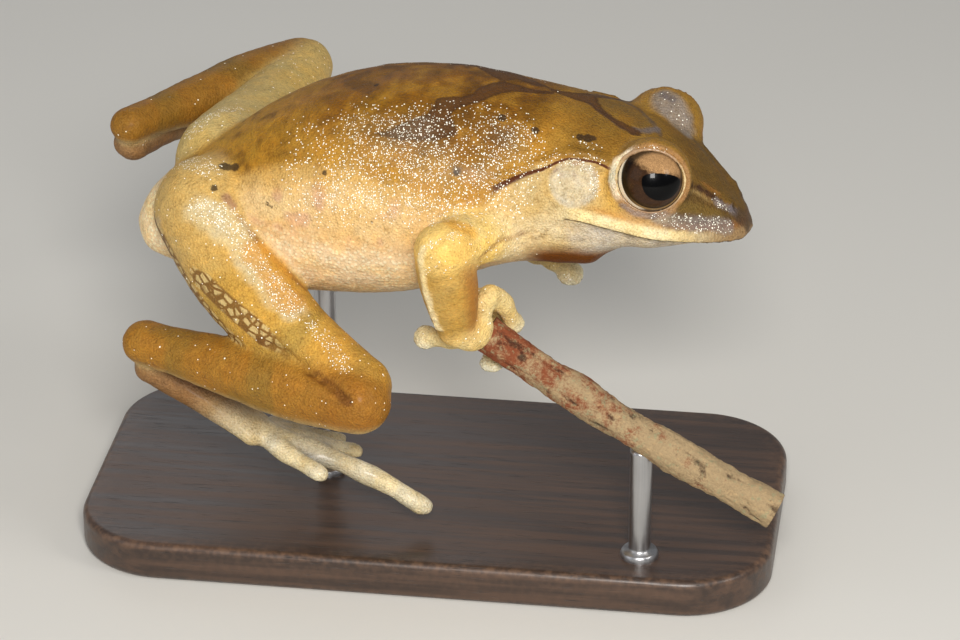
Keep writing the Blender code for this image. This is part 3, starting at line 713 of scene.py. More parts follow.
class Shader:
    """A material with one Principled shader, and the few ways in which nodes are added to it."""

    def __init__(self, name: str, **settings: object) -> None:
        """NAME is the material's; SETTINGS are even values of the shader's sockets, _ for a space."""
        self.material = bpy.data.materials.new(name)
        self.material.use_nodes = True
        self.tree = self.material.node_tree
        self.surface = self.tree.nodes["Principled BSDF"]
        for key, value in settings.items():
            self.surface.inputs[key.replace("_", " ")].default_value = value

    def node(self, kind: str, settings: Optional[Mapping[str, object]] = None,
             sockets: Optional[Mapping[object, object]] = None, out: object = 0) -> Value:
        """Adds a node.

        Args:
            kind: the node's type.
            settings: its properties.
            sockets: values or links by the socket's name, identifier or number.
            out: name, identifier or number of the output to give back.
        Returns:
            That output as a value.
        """
        node = self.tree.nodes.new(kind)
        for key, value in (settings or {}).items():
            setattr(node, key, value)
        for key, value in (sockets or {}).items():
            target = self.found(node.inputs, key)
            if isinstance(value, Value):
                self.tree.links.new(value.socket, target)
            elif isinstance(value, (tuple, list, np.ndarray)):
                size = len(target.default_value)
                target.default_value = (*value, 1.0)[:size]
            else:
                target.default_value = value
        return Value(self, self.found(node.outputs, out))

    @staticmethod
    def found(sockets: bpy.types.bpy_prop_collection, key: object) -> bpy.types.NodeSocket:
        """The socket with that number, identifier or name."""
        if isinstance(key, int):
            return sockets[key]
        named = [socket for socket in sockets if socket.identifier == key]
        return named[0] if named else sockets[key]

    def feed(self, **links: Value) -> None:
        """Links values to the shader's sockets, _ for a space."""
        for key, value in links.items():
            self.tree.links.new(value.socket, self.surface.inputs[key.replace("_", " ")])

    def places(self, scale: float = 1 / MM) -> Value:
        """Object coordinates times SCALE, so in millimetres."""
        coordinates = self.node("ShaderNodeTexCoord", {}, {}, "Object")
        return self.scaled(coordinates, scale)

    def scaled(self, vector: Value, factor: object) -> Value:
        """A vector or colour times a number."""
        return self.node("ShaderNodeVectorMath", {"operation": "SCALE"}, {0: vector, "Scale": factor})

    def stretched(self, vector: Value, factors: Sequence[float]) -> Value:
        """A vector with each coordinate times its own factor."""
        return self.node("ShaderNodeVectorMath", {"operation": "MULTIPLY"}, {0: vector, 1: tuple(factors)})

    def attribute(self, name: str, out: str = "Fac") -> Value:
        """A value kept at the mesh's points."""
        return self.node("ShaderNodeAttribute", {"attribute_name": name}, {}, out)

    def noise(self, places: Value, scale: float, detail: float = 2.0, roughness: float = 0.5) -> Value:
        """Fractal noise from 0 to 1 with SCALE cells a millimetre."""
        return self.node("ShaderNodeTexNoise", {},
                         {"Vector": places, "Scale": scale, "Detail": detail, "Roughness": roughness})

    def cells(self, places: Value, scale: float, feature: str = "F1", out: str = "Distance",
              randomness: float = 1.0) -> Value:
        """Cell pattern with SCALE cells a millimetre."""
        return self.node("ShaderNodeTexVoronoi", {"feature": feature},
                         {"Vector": places, "Scale": scale, "Randomness": randomness}, out)

    def red_of(self, colour: Value) -> Value:
        """The red part of a colour."""
        return self.node("ShaderNodeSeparateColor", {}, {"Color": colour}, "Red")

    def mix(self, share: object, one: object, two: object, mode: str = "MIX") -> Value:
        """Colour ONE mixed towards TWO."""
        return self.node("ShaderNodeMix", {"data_type": "RGBA", "blend_type": mode},
                         {"Factor_Float": share, "A_Color": one, "B_Color": two}, "Result_Color")

    def bump(self, height: Value, depth: float, strength: float = 1.0) -> Value:
        """Normal of a surface raised by HEIGHT times DEPTH millimetres."""
        return self.node("ShaderNodeBump", {}, {"Height": height, "Distance": depth * MM,
                                                "Strength": strength}, "Normal")


# Finishes


@dataclass(frozen=True)
class SkinFinish:
    """Moist, finely granular skin: colour from the points, pattern edges and grain from noise, with painted
    shade in its hollows and lines and painted glints that glow a little.
    """

    mark: Array = toned(88, 56, 26)
    mark_edge: Array = toned(72, 44, 18)
    spot: Array = toned(44, 30, 20)
    # Band under the fold: partly its own orange-brown, partly painted shade.
    fold: Array = toned(88, 42, 14)
    net: Array = toned(116, 78, 36)
    net_spot: Array = toned(208, 182, 124)
    # Painted highlight: the white of the glints, and below it the pale painted sheen where they are dense.
    glint: Array = toned(255, 250, 232)
    glint_sheen: Array = toned(228, 210, 174)
    # Colour of the line of painted shade along the mouth.
    mouth: Array = toned(70, 52, 32)
    # Skin between the belly's pebbles: partly its own pinkish colour, partly painted shade.
    between: Array = toned(232, 196, 164)

    def material(self) -> bpy.types.Material:
        """Builds the material."""
        shader = Shader("moist_skin", Coat_Roughness=0.22, Coat_IOR=1.4, Specular_IOR_Level=0.18,
                        Subsurface_Weight=0.04, Subsurface_Radius=(1.0, 0.5, 0.2), Subsurface_Scale=0.0004,
                        Emission_Strength=1.0)
        mm = shader.places()
        broad = shader.noise(mm, 0.35, 3)
        middle = shader.noise(mm, 1.1, 4, 0.65)
        fine = shader.noise(mm, 5.0, 3, 0.65)
        grain = shader.cells(mm, 4.4)
        pebble = shader.cells(mm, 2.4, randomness=0.75)
        belly = shader.attribute("belly")
        back = 1 - belly
        colour = self._speckled(shader, shader.attribute("tint", "Color"), broad, middle, fine)
        # Painted shade between granules: the back is darker towards the edges of its small cells, and the
        # belly's skin between its pebbles is partly its own pinkish colour and partly painted shade.
        granule_shade = shader.stretched(colour, (0.80, 0.70, 0.58))
        colour = shader.mix(grain.ramp(0.42, 0.75) * back * 0.4, colour, granule_shade)
        between = shader.mix(0.8, colour, self.between, "MULTIPLY")
        colour = shader.mix(pebble.ramp(0.26, 0.50) * belly * 0.6, colour, between)
        colour = self._marked(shader, colour, middle, fine)
        colour, painted_glint = self._painted_glints(shader, colour, mm)
        wet = shader.attribute("wet")
        # The painted glints also glow a little through the emission colour.
        shader.feed(Base_Color=colour, Roughness=self._roughness(middle, fine, painted_glint) - 0.15 * wet,
                    Coat_Weight=self._coat(broad, belly) + 0.5 * wet,
                    Emission_Color=shader.scaled(shader.mix(painted_glint, (0, 0, 0), self.glint), 0.3))
        dome = 1 - (pebble * pebble * 2.6).at_most(1.0)
        small = 1 - (grain * grain * 1.9).at_most(1.0)
        height = dome * belly * 0.05 + small * back * 0.06 + middle * 0.09 + fine * back * 0.06
        shader.feed(Normal=shader.bump(height + painted_glint * 0.03, 1.0))
        return shader.material

    @staticmethod
    def _speckled(shader: Shader, colour: Value, broad: Value, middle: Value, fine: Value) -> Value:
        """Clouds the colour softly and strews it with darker and paler grains."""
        colour = shader.scaled(colour, 0.52 + 0.58 * middle + 0.36 * fine)
        warm = shader.stretched(colour, (1.05, 0.98, 0.82))
        colour = shader.mix(broad.ramp(0.4, 0.65), colour, warm)
        grains = 0.62 * fine + 0.38 * middle
        darker = shader.stretched(colour, (0.62, 0.56, 0.46))
        colour = shader.mix(grains.ramp(0.47, 0.38) * 0.5, colour, darker)
        return shader.mix(grains.ramp(0.54, 0.63) * 0.45, colour, shader.stretched(colour, (1.28, 1.26, 1.2)))

    def _marked(self, shader: Shader, colour: Value, middle: Value, fine: Value) -> Value:
        """Adds the dark marks, spots, the net on the thighs, painted shade in the wrinkles, a band under the
        fold that is partly painted shade, and a line of painted shade along the mouth.
        """
        wobble = (middle - 0.5) * 0.7 + (fine - 0.5) * 0.5
        mark = shader.attribute("mark") + wobble
        tinted = shader.mix(mark.ramp(0.1, 0.55), self.mark_edge, self.mark)
        tinted = shader.scaled(tinted, 0.6 + 0.5 * middle + 0.4 * fine)
        colour = shader.mix(mark.ramp(-0.14, 0.16) * 0.9 * shader.attribute("mark_weight"), colour, tinted)
        spot = shader.attribute("spot") + (fine - 0.5) * 0.5 + (middle - 0.5) * 0.3
        colour = shader.mix(spot.ramp(-0.08, 0.08) * 0.85, colour, self.spot)
        colour = self._netted(shader, colour, middle, fine)
        # Painted shade in the wrinkles: darker along each crease.
        crease = shader.attribute("crease") + (fine - 0.5) * 0.05
        dark = shader.stretched(colour, (0.5, 0.4, 0.3))
        colour = shader.mix(crease.ramp(0.14, 0.02) * 0.6, colour, dark)
        # Band under the fold behind the eye: partly its own orange-brown, partly painted shade under the
        # fold's overhang.
        fold = shader.attribute("fold") + (fine - 0.5) * 0.5
        lined = fold.ramp(-1.25, -0.8) * fold.ramp(0.15, -0.2) * shader.attribute("fold_weight")
        colour = shader.mix(lined, colour, self.fold)
        # Painted shade along the mouth: a dark line where the lips meet.
        mouth = shader.attribute("mouth") + (fine - 0.5) * 0.05
        return shader.mix(mouth.ramp(0.17, 0.05) * 0.85, colour, self.mouth)

    def _netted(self, shader: Shader, colour: Value, middle: Value, fine: Value) -> Value:
        """Dark net round long pale meshes, on a map that runs along the leg and round it."""
        spot = shader.node("ShaderNodeCombineXYZ", {}, {
            "X": shader.attribute("leg_along") + (middle - 0.5) * 0.5, "Y": shader.attribute("leg_round")})
        thread = shader.cells(spot, 1.0, "DISTANCE_TO_EDGE", randomness=0.6) + (fine - 0.5) * 0.08
        meshed = shader.mix(thread.ramp(0.22, 0.08), self.net_spot, self.net)
        net = shader.attribute("net") + (middle - 0.5) * 0.4
        return shader.mix(net.ramp(0.25, 0.75) * 0.85, colour, shader.scaled(meshed, 0.75 + 0.5 * fine))

    def _painted_glints(self, shader: Shader, colour: Value, mm: Value) -> tuple[Value, Value]:
        """Adds painted glints, white flecks of painted highlight over a pale painted sheen; a glint shows in
        the cells whose chance is below the glint chance.
        """
        density = shader.attribute("glitter")
        colour = shader.mix(density.ramp(0.1, 1.0) * 0.08, colour, self.glint_sheen)
        total = None
        for scale, size, share in ((1.8, 0.16, 0.3), (2.8, 0.22, 0.9), (3.9, 0.27, 1.0), (5.2, 0.31, 1.0)):
            shifted = shader.node("ShaderNodeVectorMath", {"operation": "ADD"}, {0: mm, 1: (scale, 7.0, 3.0)})
            chance = shader.red_of(shader.cells(shifted, scale, out="Color"))
            fleck = (shader.cells(shifted, scale) * (0.75 + 0.7 * chance)).ramp(size, size * 0.65)
            layer = fleck * chance.below(density * share)
            total = layer if total is None else total.at_least(layer)
        total = total.at_most(1.0)
        return shader.mix(total, colour, self.glint), total

    @staticmethod
    def _roughness(middle: Value, fine: Value, painted_glint: Value) -> Value:
        """Roughness with the noise, lower on the painted glints."""
        return 0.40 + 0.20 * middle + 0.14 * fine - 0.25 * painted_glint

    @staticmethod
    def _coat(broad: Value, belly: Value) -> Value:
        """Moist film, thinner on the belly."""
        return broad.ramp(0.3, 0.7, 0.04, 0.14) * (1 - 0.6 * belly)


@dataclass(frozen=True)
class EyeFinish:
    """Eyeball under a clear wet film: black pupil, copper over dark brown iris, thin gold ring, and painted
    shade on the ball outside the iris, white only behind.
    """

    pupil_middle: tuple = (0.37, 0.26)
    pupil_tilt: float = math.radians(-11)
    pupil_half_width: float = 2.0
    pupil_above: float = 0.8
    pupil_below: float = 1.95
    iris_middle: tuple = (-0.14, 0.2)
    iris_radius: float = 2.98
    copper: Array = toned(168, 130, 88)
    dark: Array = toned(58, 38, 23)
    gold: Array = toned(206, 168, 104)
    white: Array = toned(244, 236, 216)
    black: Array = toned(2, 2, 3)

    def material(self) -> bpy.types.Material:
        """Builds the material from the eyeball's own map, millimetres forward and up from its axis."""
        shader = Shader("wet_eye", Roughness=0.3, Coat_Weight=0.45, Coat_Roughness=0.02, Coat_IOR=1.3,
                        Specular_IOR_Level=0.05)
        forward = shader.attribute("eye_forward")
        up = shader.attribute("eye_up")
        mm = shader.places()
        grit = shader.noise(mm, 3.2, 4, 0.65)
        speck = shader.noise(mm, 9.0, 2)
        out = ((forward - self.iris_middle[0]) ** 2 + (up - self.iris_middle[1]) ** 2) ** 0.5
        ahead, lift = forward - self.pupil_middle[0], up - self.pupil_middle[1]
        c, s = math.cos(self.pupil_tilt), math.sin(self.pupil_tilt)
        level, high = ahead * c + lift * s, lift * c - ahead * s
        tall = high.at_least(0.0) / self.pupil_above + (0.0 - high).at_least(0.0) / self.pupil_below
        pupil = ((abs(level) / self.pupil_half_width) ** 2.1 + tall ** 2.1) ** (1 / 2.1)
        pupil = pupil + (grit - 0.5) * 0.04
        above = high - 0.45 - 0.42 * (0.0 - level - 0.9).at_least(0.0) + (grit - 0.5) * 0.8
        iris = shader.mix(above.ramp(-0.2, 0.6), self.dark, self.copper)
        iris = shader.scaled(iris, 0.5 + 0.9 * grit * speck.ramp(0.3, 0.7, 0.7, 1.4))
        flecks = shader.cells(mm, 7.0).ramp(0.34, 0.14) * 0.6
        iris = shader.mix(flecks, iris, shader.scaled(iris, 1.9))
        edge = self.iris_radius
        iris = shader.mix(out.ramp(edge - 0.6, edge - 0.25) * 0.85, iris, self.black)
        ring = out.ramp(edge - 0.26, edge - 0.18) * (forward - high * 0.6).ramp(-1.8, 0.8, 0.0, 0.45)
        iris = shader.mix(ring, iris, self.gold)
        # Painted shade on the ball outside the iris, where the lids overhang it; white behind.
        beyond = shader.mix(forward.ramp(-0.8, -1.6), self.dark * 0.6, self.white)
        ball = shader.mix(out.ramp(edge - 0.03, edge + 0.03), iris, beyond)
        shader.feed(Base_Color=shader.mix(pupil.ramp(1.0, 0.95), ball, self.black))
        shader.feed(Normal=shader.bump(grit, 0.02, 0.5))
        return shader.material


@dataclass(frozen=True)
class RimFinish:
    """Edge of the lids: pale gold in front and behind, dull brown above and below."""

    gold: Array = toned(222, 198, 146)
    brown: Array = toned(166, 128, 94)

    def material(self) -> bpy.types.Material:
        """Builds the material."""
        shader = Shader("lid_edge", Coat_Weight=0.5, Coat_Roughness=0.15)
        mm = shader.places()
        grit = shader.noise(mm, 3.5, 3)
        colour = shader.mix(grit.ramp(0.42, 0.68) * 0.7, self.gold, self.brown)
        dull = shader.scaled(self.brown, 0.45 + 0.9 * grit)
        colour = shader.mix(shader.attribute("top") * 0.85, colour, dull)
        shader.feed(Base_Color=colour, Roughness=grit.ramp(0.3, 0.7, 0.3, 0.5))
        shader.feed(Normal=shader.bump(grit, 0.06))
        return shader.material


@dataclass(frozen=True)
class BarkFinish:
    """Dry flaking bark: red-brown under grey-tan, with a green film and painted shade in its grooves."""

    red: Array = toned(136, 74, 46)
    tan: Array = toned(172, 148, 112)
    moss: Array = toned(146, 150, 116)
    groove_shade: Array = toned(52, 30, 20)
    wood: Array = toned(196, 164, 120)

    def material(self) -> bpy.types.Material:
        """Builds the material; the bark's own map runs along the twig and round it."""
        shader = Shader("flaking_bark", Specular_IOR_Level=0.25)
        mm = shader.places()
        along = shader.attribute("along")
        ridge = shader.attribute("ridge")
        broad = shader.noise(mm, 0.55, 4, 0.65)
        grit = shader.noise(mm, 4.2, 4, 0.75)
        share = (broad + (grit - 0.5) * 0.5 + along * 0.42).ramp(0.46, 0.76)
        colour = shader.mix(share, self.red, self.tan)
        lichen = (shader.noise(mm, 1.5, 3, 0.6) + (grit - 0.5) * 0.3).ramp(0.58, 0.66)
        colour = shader.mix(lichen * 0.5, colour, self.moss)
        pale = shader.noise(shader.stretched(mm, (0.6, 1.4, 1.4)), 1.3, 3, 0.7).ramp(0.56, 0.68)
        colour = shader.mix(pale * 0.5, colour, self.wood)
        # Painted shade in the bark's grooves: darker where the ridge value, which also sets the twig's
        # radius, is low.
        deep = (ridge + (grit - 0.5) * 1.2).ramp(-0.45, -1.1)
        colour = shader.mix(deep * 0.8, colour, self.groove_shade)
        colour = shader.scaled(colour, 0.55 + 0.9 * grit)
        colour = shader.mix(shader.attribute("broken").ramp(0.4, 0.6), colour, self.wood)
        pits = shader.cells(mm, 2.6)
        shader.feed(Base_Color=colour, Roughness=grit.ramp(0.2, 0.8, 0.7, 0.95))
        shader.feed(Normal=shader.bump(grit * 0.16 + pits.ramp(0.0, 0.5) * 0.04, 1.0))
        return shader.material


@dataclass(frozen=True)
class BoardFinish:
    """Dark stained wood with a satin varnish and paler worn edges."""

    dark: Array = toned(48, 36, 30)
    light: Array = toned(84, 62, 48)

    def material(self) -> bpy.types.Material:
        """Builds the material, its grain along x."""
        shader = Shader("stained_wood", Coat_Weight=0.3, Coat_Roughness=0.25)
        mm = shader.places()
        bent = shader.noise(shader.stretched(mm, (0.12, 0.5, 0.5)), 0.5, 2)
        lines = shader.noise(shader.stretched(mm, (0.04, 1.0, 1.0)), 0.9, 3, 0.6)
        pores = shader.noise(shader.stretched(mm, (0.25, 4.0, 4.0)), 1.4, 2)
        share = lines.ramp(0.38, 0.66) * 0.7 + bent * 0.3
        colour = shader.mix(share, self.dark, self.light)
        colour = shader.mix(pores.ramp(0.62, 0.75) * 0.6, colour, tone(26, 19, 16))
        worn = shader.attribute("edge") * shader.noise(mm, 1.4, 3).ramp(0.35, 0.7)
        colour = shader.mix(worn * 0.45, colour, tone(140, 106, 80))
        shader.feed(Base_Color=colour, Roughness=lines.ramp(0.3, 0.7, 0.38, 0.55))
        shader.feed(Normal=shader.bump(lines * 0.03 - pores.ramp(0.62, 0.75) * 0.03, 1.0))
        return shader.material


@dataclass(frozen=True)
class RodFinish:
    """Brushed steel, drawn along the rod."""

    steel: Array = toned(196, 196, 198)

    def material(self) -> bpy.types.Material:
        """Builds the material."""
        shader = Shader("brushed_rod", Metallic=1.0)
        mm = shader.places()
        lines = shader.noise(shader.stretched(mm, (6.0, 6.0, 0.15)), 1.0, 3)
        smear = shader.noise(mm, 0.4, 2)
        steel = shader.mix(smear, self.steel, self.steel * 0.8)
        colour = shader.scaled(steel, 0.85 + 0.3 * lines)
        shader.feed(Base_Color=colour, Roughness=0.2 + 0.25 * lines)
        shader.feed(Normal=shader.bump(lines, 0.01))
        return shader.material


@dataclass(frozen=True)
class FloorFinish:
    """Plain pale matt floor."""

    pale: Array = toned(222, 220, 214)

    def material(self) -> bpy.types.Material:
        """Builds the material."""
        shader = Shader("pale_floor", Roughness=0.85, Specular_IOR_Level=0.2)
        cloud = shader.noise(shader.places(), 0.01, 2)
        shader.feed(Base_Color=shader.scaled(self.pale, 0.97 + 0.06 * cloud))
        return shader.material


# The animal


class Part(Enum):
    """Named stretches of the skin, each with its own colours."""

    TRUNK = "trunk"
    ARM = "upper arm"
    FOREARM = "forearm"
    HAND = "hand"
    DISC = "disc"
    THIGH = "thigh"
    SHANK = "shank"
    FOOT = "tarsus and instep"
    TOE = "toe"
    WEB = "web"


@dataclass
class Flesh:
    """One form of the skin, the part that it belongs to and how softly it joins the rest."""

    part: Part
    side: int
    form: Form
    blend: float


def sided(right: object, left: object) -> dict[str, object]:
    """Field that holds a value for each side of the body."""
    return field(default_factory=lambda: {"right": right, "left": left})


@dataclass
class Anatomy:
    """Places of the joints and sizes of the limbs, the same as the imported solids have."""

    sections: tuple = (
        (-51.9, 0.05, 0.05, -10.9, -10.85, -10.95), (-51.6, 0.9, 0.9, -10.8, -9.8, -12.0),
        (-50.9, 2.3, 2.3, -10.6, -8.2, -13.2), (-49.3, 3.7, 3.7, -10.0, -6.1, -14.1),
        (-46.3, 5.4, 5.4, -9.2, -3.9, -14.9), (-43.0, 6.9, 6.9, -8.2, -1.4, -15.6),
        (-38.0, 9.0, 9.0, -7.0, 2.2, -16.1), (-32.0, 10.9, 10.9, -6.0, 5.0, -15.9),
        (-27.0, 11.9, 11.9, -5.4, 6.2, -15.4), (-22.0, 12.2, 12.2, -5.0, 6.6, -14.4),
        (-17.0, 11.4, 11.4, -4.6, 6.4, -12.2), (-13.0, 10.3, 10.3, -4.0, 5.8, -11.1),
        (-10.0, 9.7, 9.7, -3.5, 5.2, -11.2), (-7.5, 9.6, 9.5, -3.4, 4.6, -11.3),
        (-5.7, 9.6, 9.35, -3.7, 4.2, -11.0), (-4.0, 9.6, 9.2, -4.1, 3.8, -9.5),
        (-2.4, 9.45, 9.0, -4.55, 3.35, -8.6), (0.0, 9.1, 8.6, -5.2, 2.6, -8.35),
        (3.0, 7.8, 7.1, -6.0, 0.6, -8.0), (5.0, 6.4, 5.4, -6.6, -1.3, -8.0),
        (7.0, 4.6, 3.7, -7.2, -3.4, -8.05), (8.2, 3.1, 2.3, -7.6, -5.0, -8.15),
        (8.9, 1.8, 1.1, -7.7, -6.2, -8.15), (9.2, 0.7, 0.5, -7.6, -7.1, -8.0),
        (9.35, 0.05, 0.05, -7.55, -7.5, -7.6),
    )
    eye_side: float = 6.3
    eye_radius: float = 3.3
    eye_axis: tuple = (0.30, 0.93, 0.22)
    lid_axis: tuple = (-0.013, 0.985, 0.16)
    lid_radius: float = 3.85
    lid_half_angle: float = math.radians(78)
    lid_flatness: float = 1.9
    hip: dict = sided((-43.5, -5.0, -7.0), (-43.5, 5.0, -6.5))
    knee: dict = sided((-26.7, -17.5, -19.5), (-40.9, 31.0, -6.8))
    knee_fold: dict = sided((0.1, 0.8, 0.4), (0.5, 0.0, -0.2))
    heel: dict = sided((-49.9, -8.0, -20.5), (-54.7, 9.5, -5.0))
    ankle: dict = sided((-49.6, -7.2, -23.4), (-54.8, 10.6, -7.6))
    instep: dict = sided((-39.0, -7.5, -29.6), (-50.6, 23.2, -9.4))
    shoulder: dict = sided((-13.8, -6.8, -5.8), (-13.3, 7.0, -7.2))
    elbow: dict = sided((-18.8, -16.0, -4.2), (-19.5, 15.5, -9.5))
    wrist: dict = sided((-18.0, -12.2, -14.6), (-15.2, 13.2, -16.2))
    palm: dict = sided((-16.2, -10.6, -14.9), (-13.2, 12.2, -17.6))
    thigh_bow: dict = sided((-1.9, 0.3, -1.6), (0.0, 0.0, -0.5))
    shank_scale: dict = sided(1.0, 0.84)
    arm_flat: dict = sided((0.25, -0.95, 0.1), (0.25, 0.95, 0.1))
    hand_flat: dict = sided((0.3, -0.8, 0.5), (0.3, 0.5, 0.8))
    foot_flat: dict = sided((0.3, -0.1, 0.95), (0.3, 0.1, 0.95))
    upper_arm: tuple = ((0.0, 3.1, 2.9), (0.5, 2.9, 2.7), (1.0, 2.6, 2.5))
    forearm: tuple = ((0.0, 2.7, 2.4), (0.3, 2.9, 2.4), (0.7, 2.5, 2.0), (1.0, 1.8, 1.4))
    thigh: tuple = ((0.0, 5.5, 5.5), (0.3, 5.0, 4.9), (0.7, 3.7, 3.8), (1.0, 2.9, 3.0))
    shank: tuple = ((0.0, 3.2, 3.2), (0.25, 3.7, 3.5), (0.6, 3.1, 2.9), (0.85, 2.4, 2.3), (1.0, 2.3, 2.2))
    tarsus: tuple = ((0.0, 1.9, 1.6), (0.5, 1.8, 1.5), (1.0, 2.5, 1.2))
    palm_profile: tuple = ((0.0, 1.8, 1.5), (0.35, 2.2, 1.6), (0.7, 2.4, 1.6), (1.0, 2.1, 1.4))
    knee_radius: float = 2.5
    disc_half_thickness: float = 0.5
    web_half_thickness: float = 0.27
    web_reach: float = 0.74
    fingers: dict = field(default_factory=lambda: {
        "right": (
            (((-14.9, -10.8, -11.3), (-13.8, -9.0, -13.3), (-13.2, -7.7, -15.6)), 1.0, 1.1, (0.3, -0.8, 0.5)),
            (((-16.2, -9.2, -12.7), (-15.1, -7.5, -13.9), (-14.3, -6.2, -16.6)), 1.0, 1.1, (0.3, -0.8, 0.5)),
            (((-16.5, -8.2, -15.7), (-15.3, -6.2, -17.5), (-15.1, -7.3, -20.1)), 0.9, 1.4,
             (-0.1, -0.33, 0.94)),
            (((-18.6, -10.0, -16.8), (-21.2, -8.8, -17.5)), 0.95, 1.3, (-0.11, -0.78, 0.62)),
        ),
        "left": (
            (((-11.8, 10.8, -17.8), (-9.9, 9.7, -18.5)), 0.98, 1.45, (0.1, -0.6, 0.75)),
            (((-10.9, 12.4, -16.9), (-8.0, 12.6, -16.3)), 0.98, 1.2, (0.3, 0.5, 0.8)),
            (((-11.6, 14.4, -17.9), (-9.4, 16.2, -17.9)), 0.98, 1.2, (0.3, 0.5, 0.8)),
            (((-13.8, 14.6, -18.6), (-13.0, 17.1, -18.7)), 0.98, 1.1, (0.3, 0.5, 0.8)),
        ),
    })
    toes: dict = field(default_factory=lambda: {
        "right": (
            (((-37.6, -3.6, -31.0), (-35.8, 0.6, -32.8)), 0.8, 0.7, (0.3, -0.1, 0.95)),
            (((-36.4, -4.6, -31.2), (-32.0, -0.6, -34.0)), 0.8, 0.8, (0.3, -0.1, 0.95)),
            (((-35.2, -5.8, -31.2), (-29.9, -4.0, -33.3)), 0.82, 0.9, (0.3, -0.1, 0.95)),
            (((-34.4, -7.8, -31.2), (-26.2, -8.9, -33.8), (-22.2, -9, -36.2)), 1.05, 1.05, (0.3, -0.1, 0.95)),
            (((-35.8, -9.6, -30.8), (-32.0, -11.6, -31.9)), 0.95, 0.9, (0.3, -0.1, 0.95)),
        ),
        "left": (
            (((-47.4, 24.6, -11.6), (-43.8, 25.2, -13.6)), 0.82, 0.7, (0.3, 0.1, 0.95)),
            (((-47.2, 25.8, -11.8), (-41.6, 28.6, -14.8)), 0.82, 0.8, (0.3, 0.1, 0.95)),
            (((-47.6, 27.2, -11.8), (-41.4, 33.0, -15.4)), 0.82, 0.9, (0.3, 0.1, 0.95)),
            (((-48.4, 28.4, -11.8), (-43.4, 37.6, -15.4), (-42.4, 39.4, -16.6)), 0.95, 1.0, (0.3, 0.1, 0.95)),
            (((-49.8, 28.6, -11.4), (-48.4, 36.0, -13.8)), 0.82, 0.9, (0.3, 0.1, 0.95)),
        ),
    })

    def axis_of_eye(self, side: int) -> Array:
        """Direction in which the eye on that side looks."""
        return unit((self.eye_axis[0], self.eye_axis[1] * side, self.eye_axis[2]))

    def lid_frame(self, side: int) -> tuple[Array, Array, Array]:
        """Direction in which the lids on that side open, way to the snout and way up across it."""
        axis = unit((self.lid_axis[0], self.lid_axis[1] * side, self.lid_axis[2]))
        up = unit(np.array((0, 0, 1.0)) - axis * axis[2])
        return axis, np.cross(axis, up) * side, up

    def eye_centre(self, side: int) -> Array:
        """Centre of the eyeball on that side."""
        return np.array((0.0, side * self.eye_side, 0.0))

    def knee_end(self, which: str, shift: float) -> Array:
        """End of the thigh or the shank at the knee, SHIFT folds to its own side."""
        return np.array(self.knee[which]) + np.array(self.knee_fold[which]) * shift


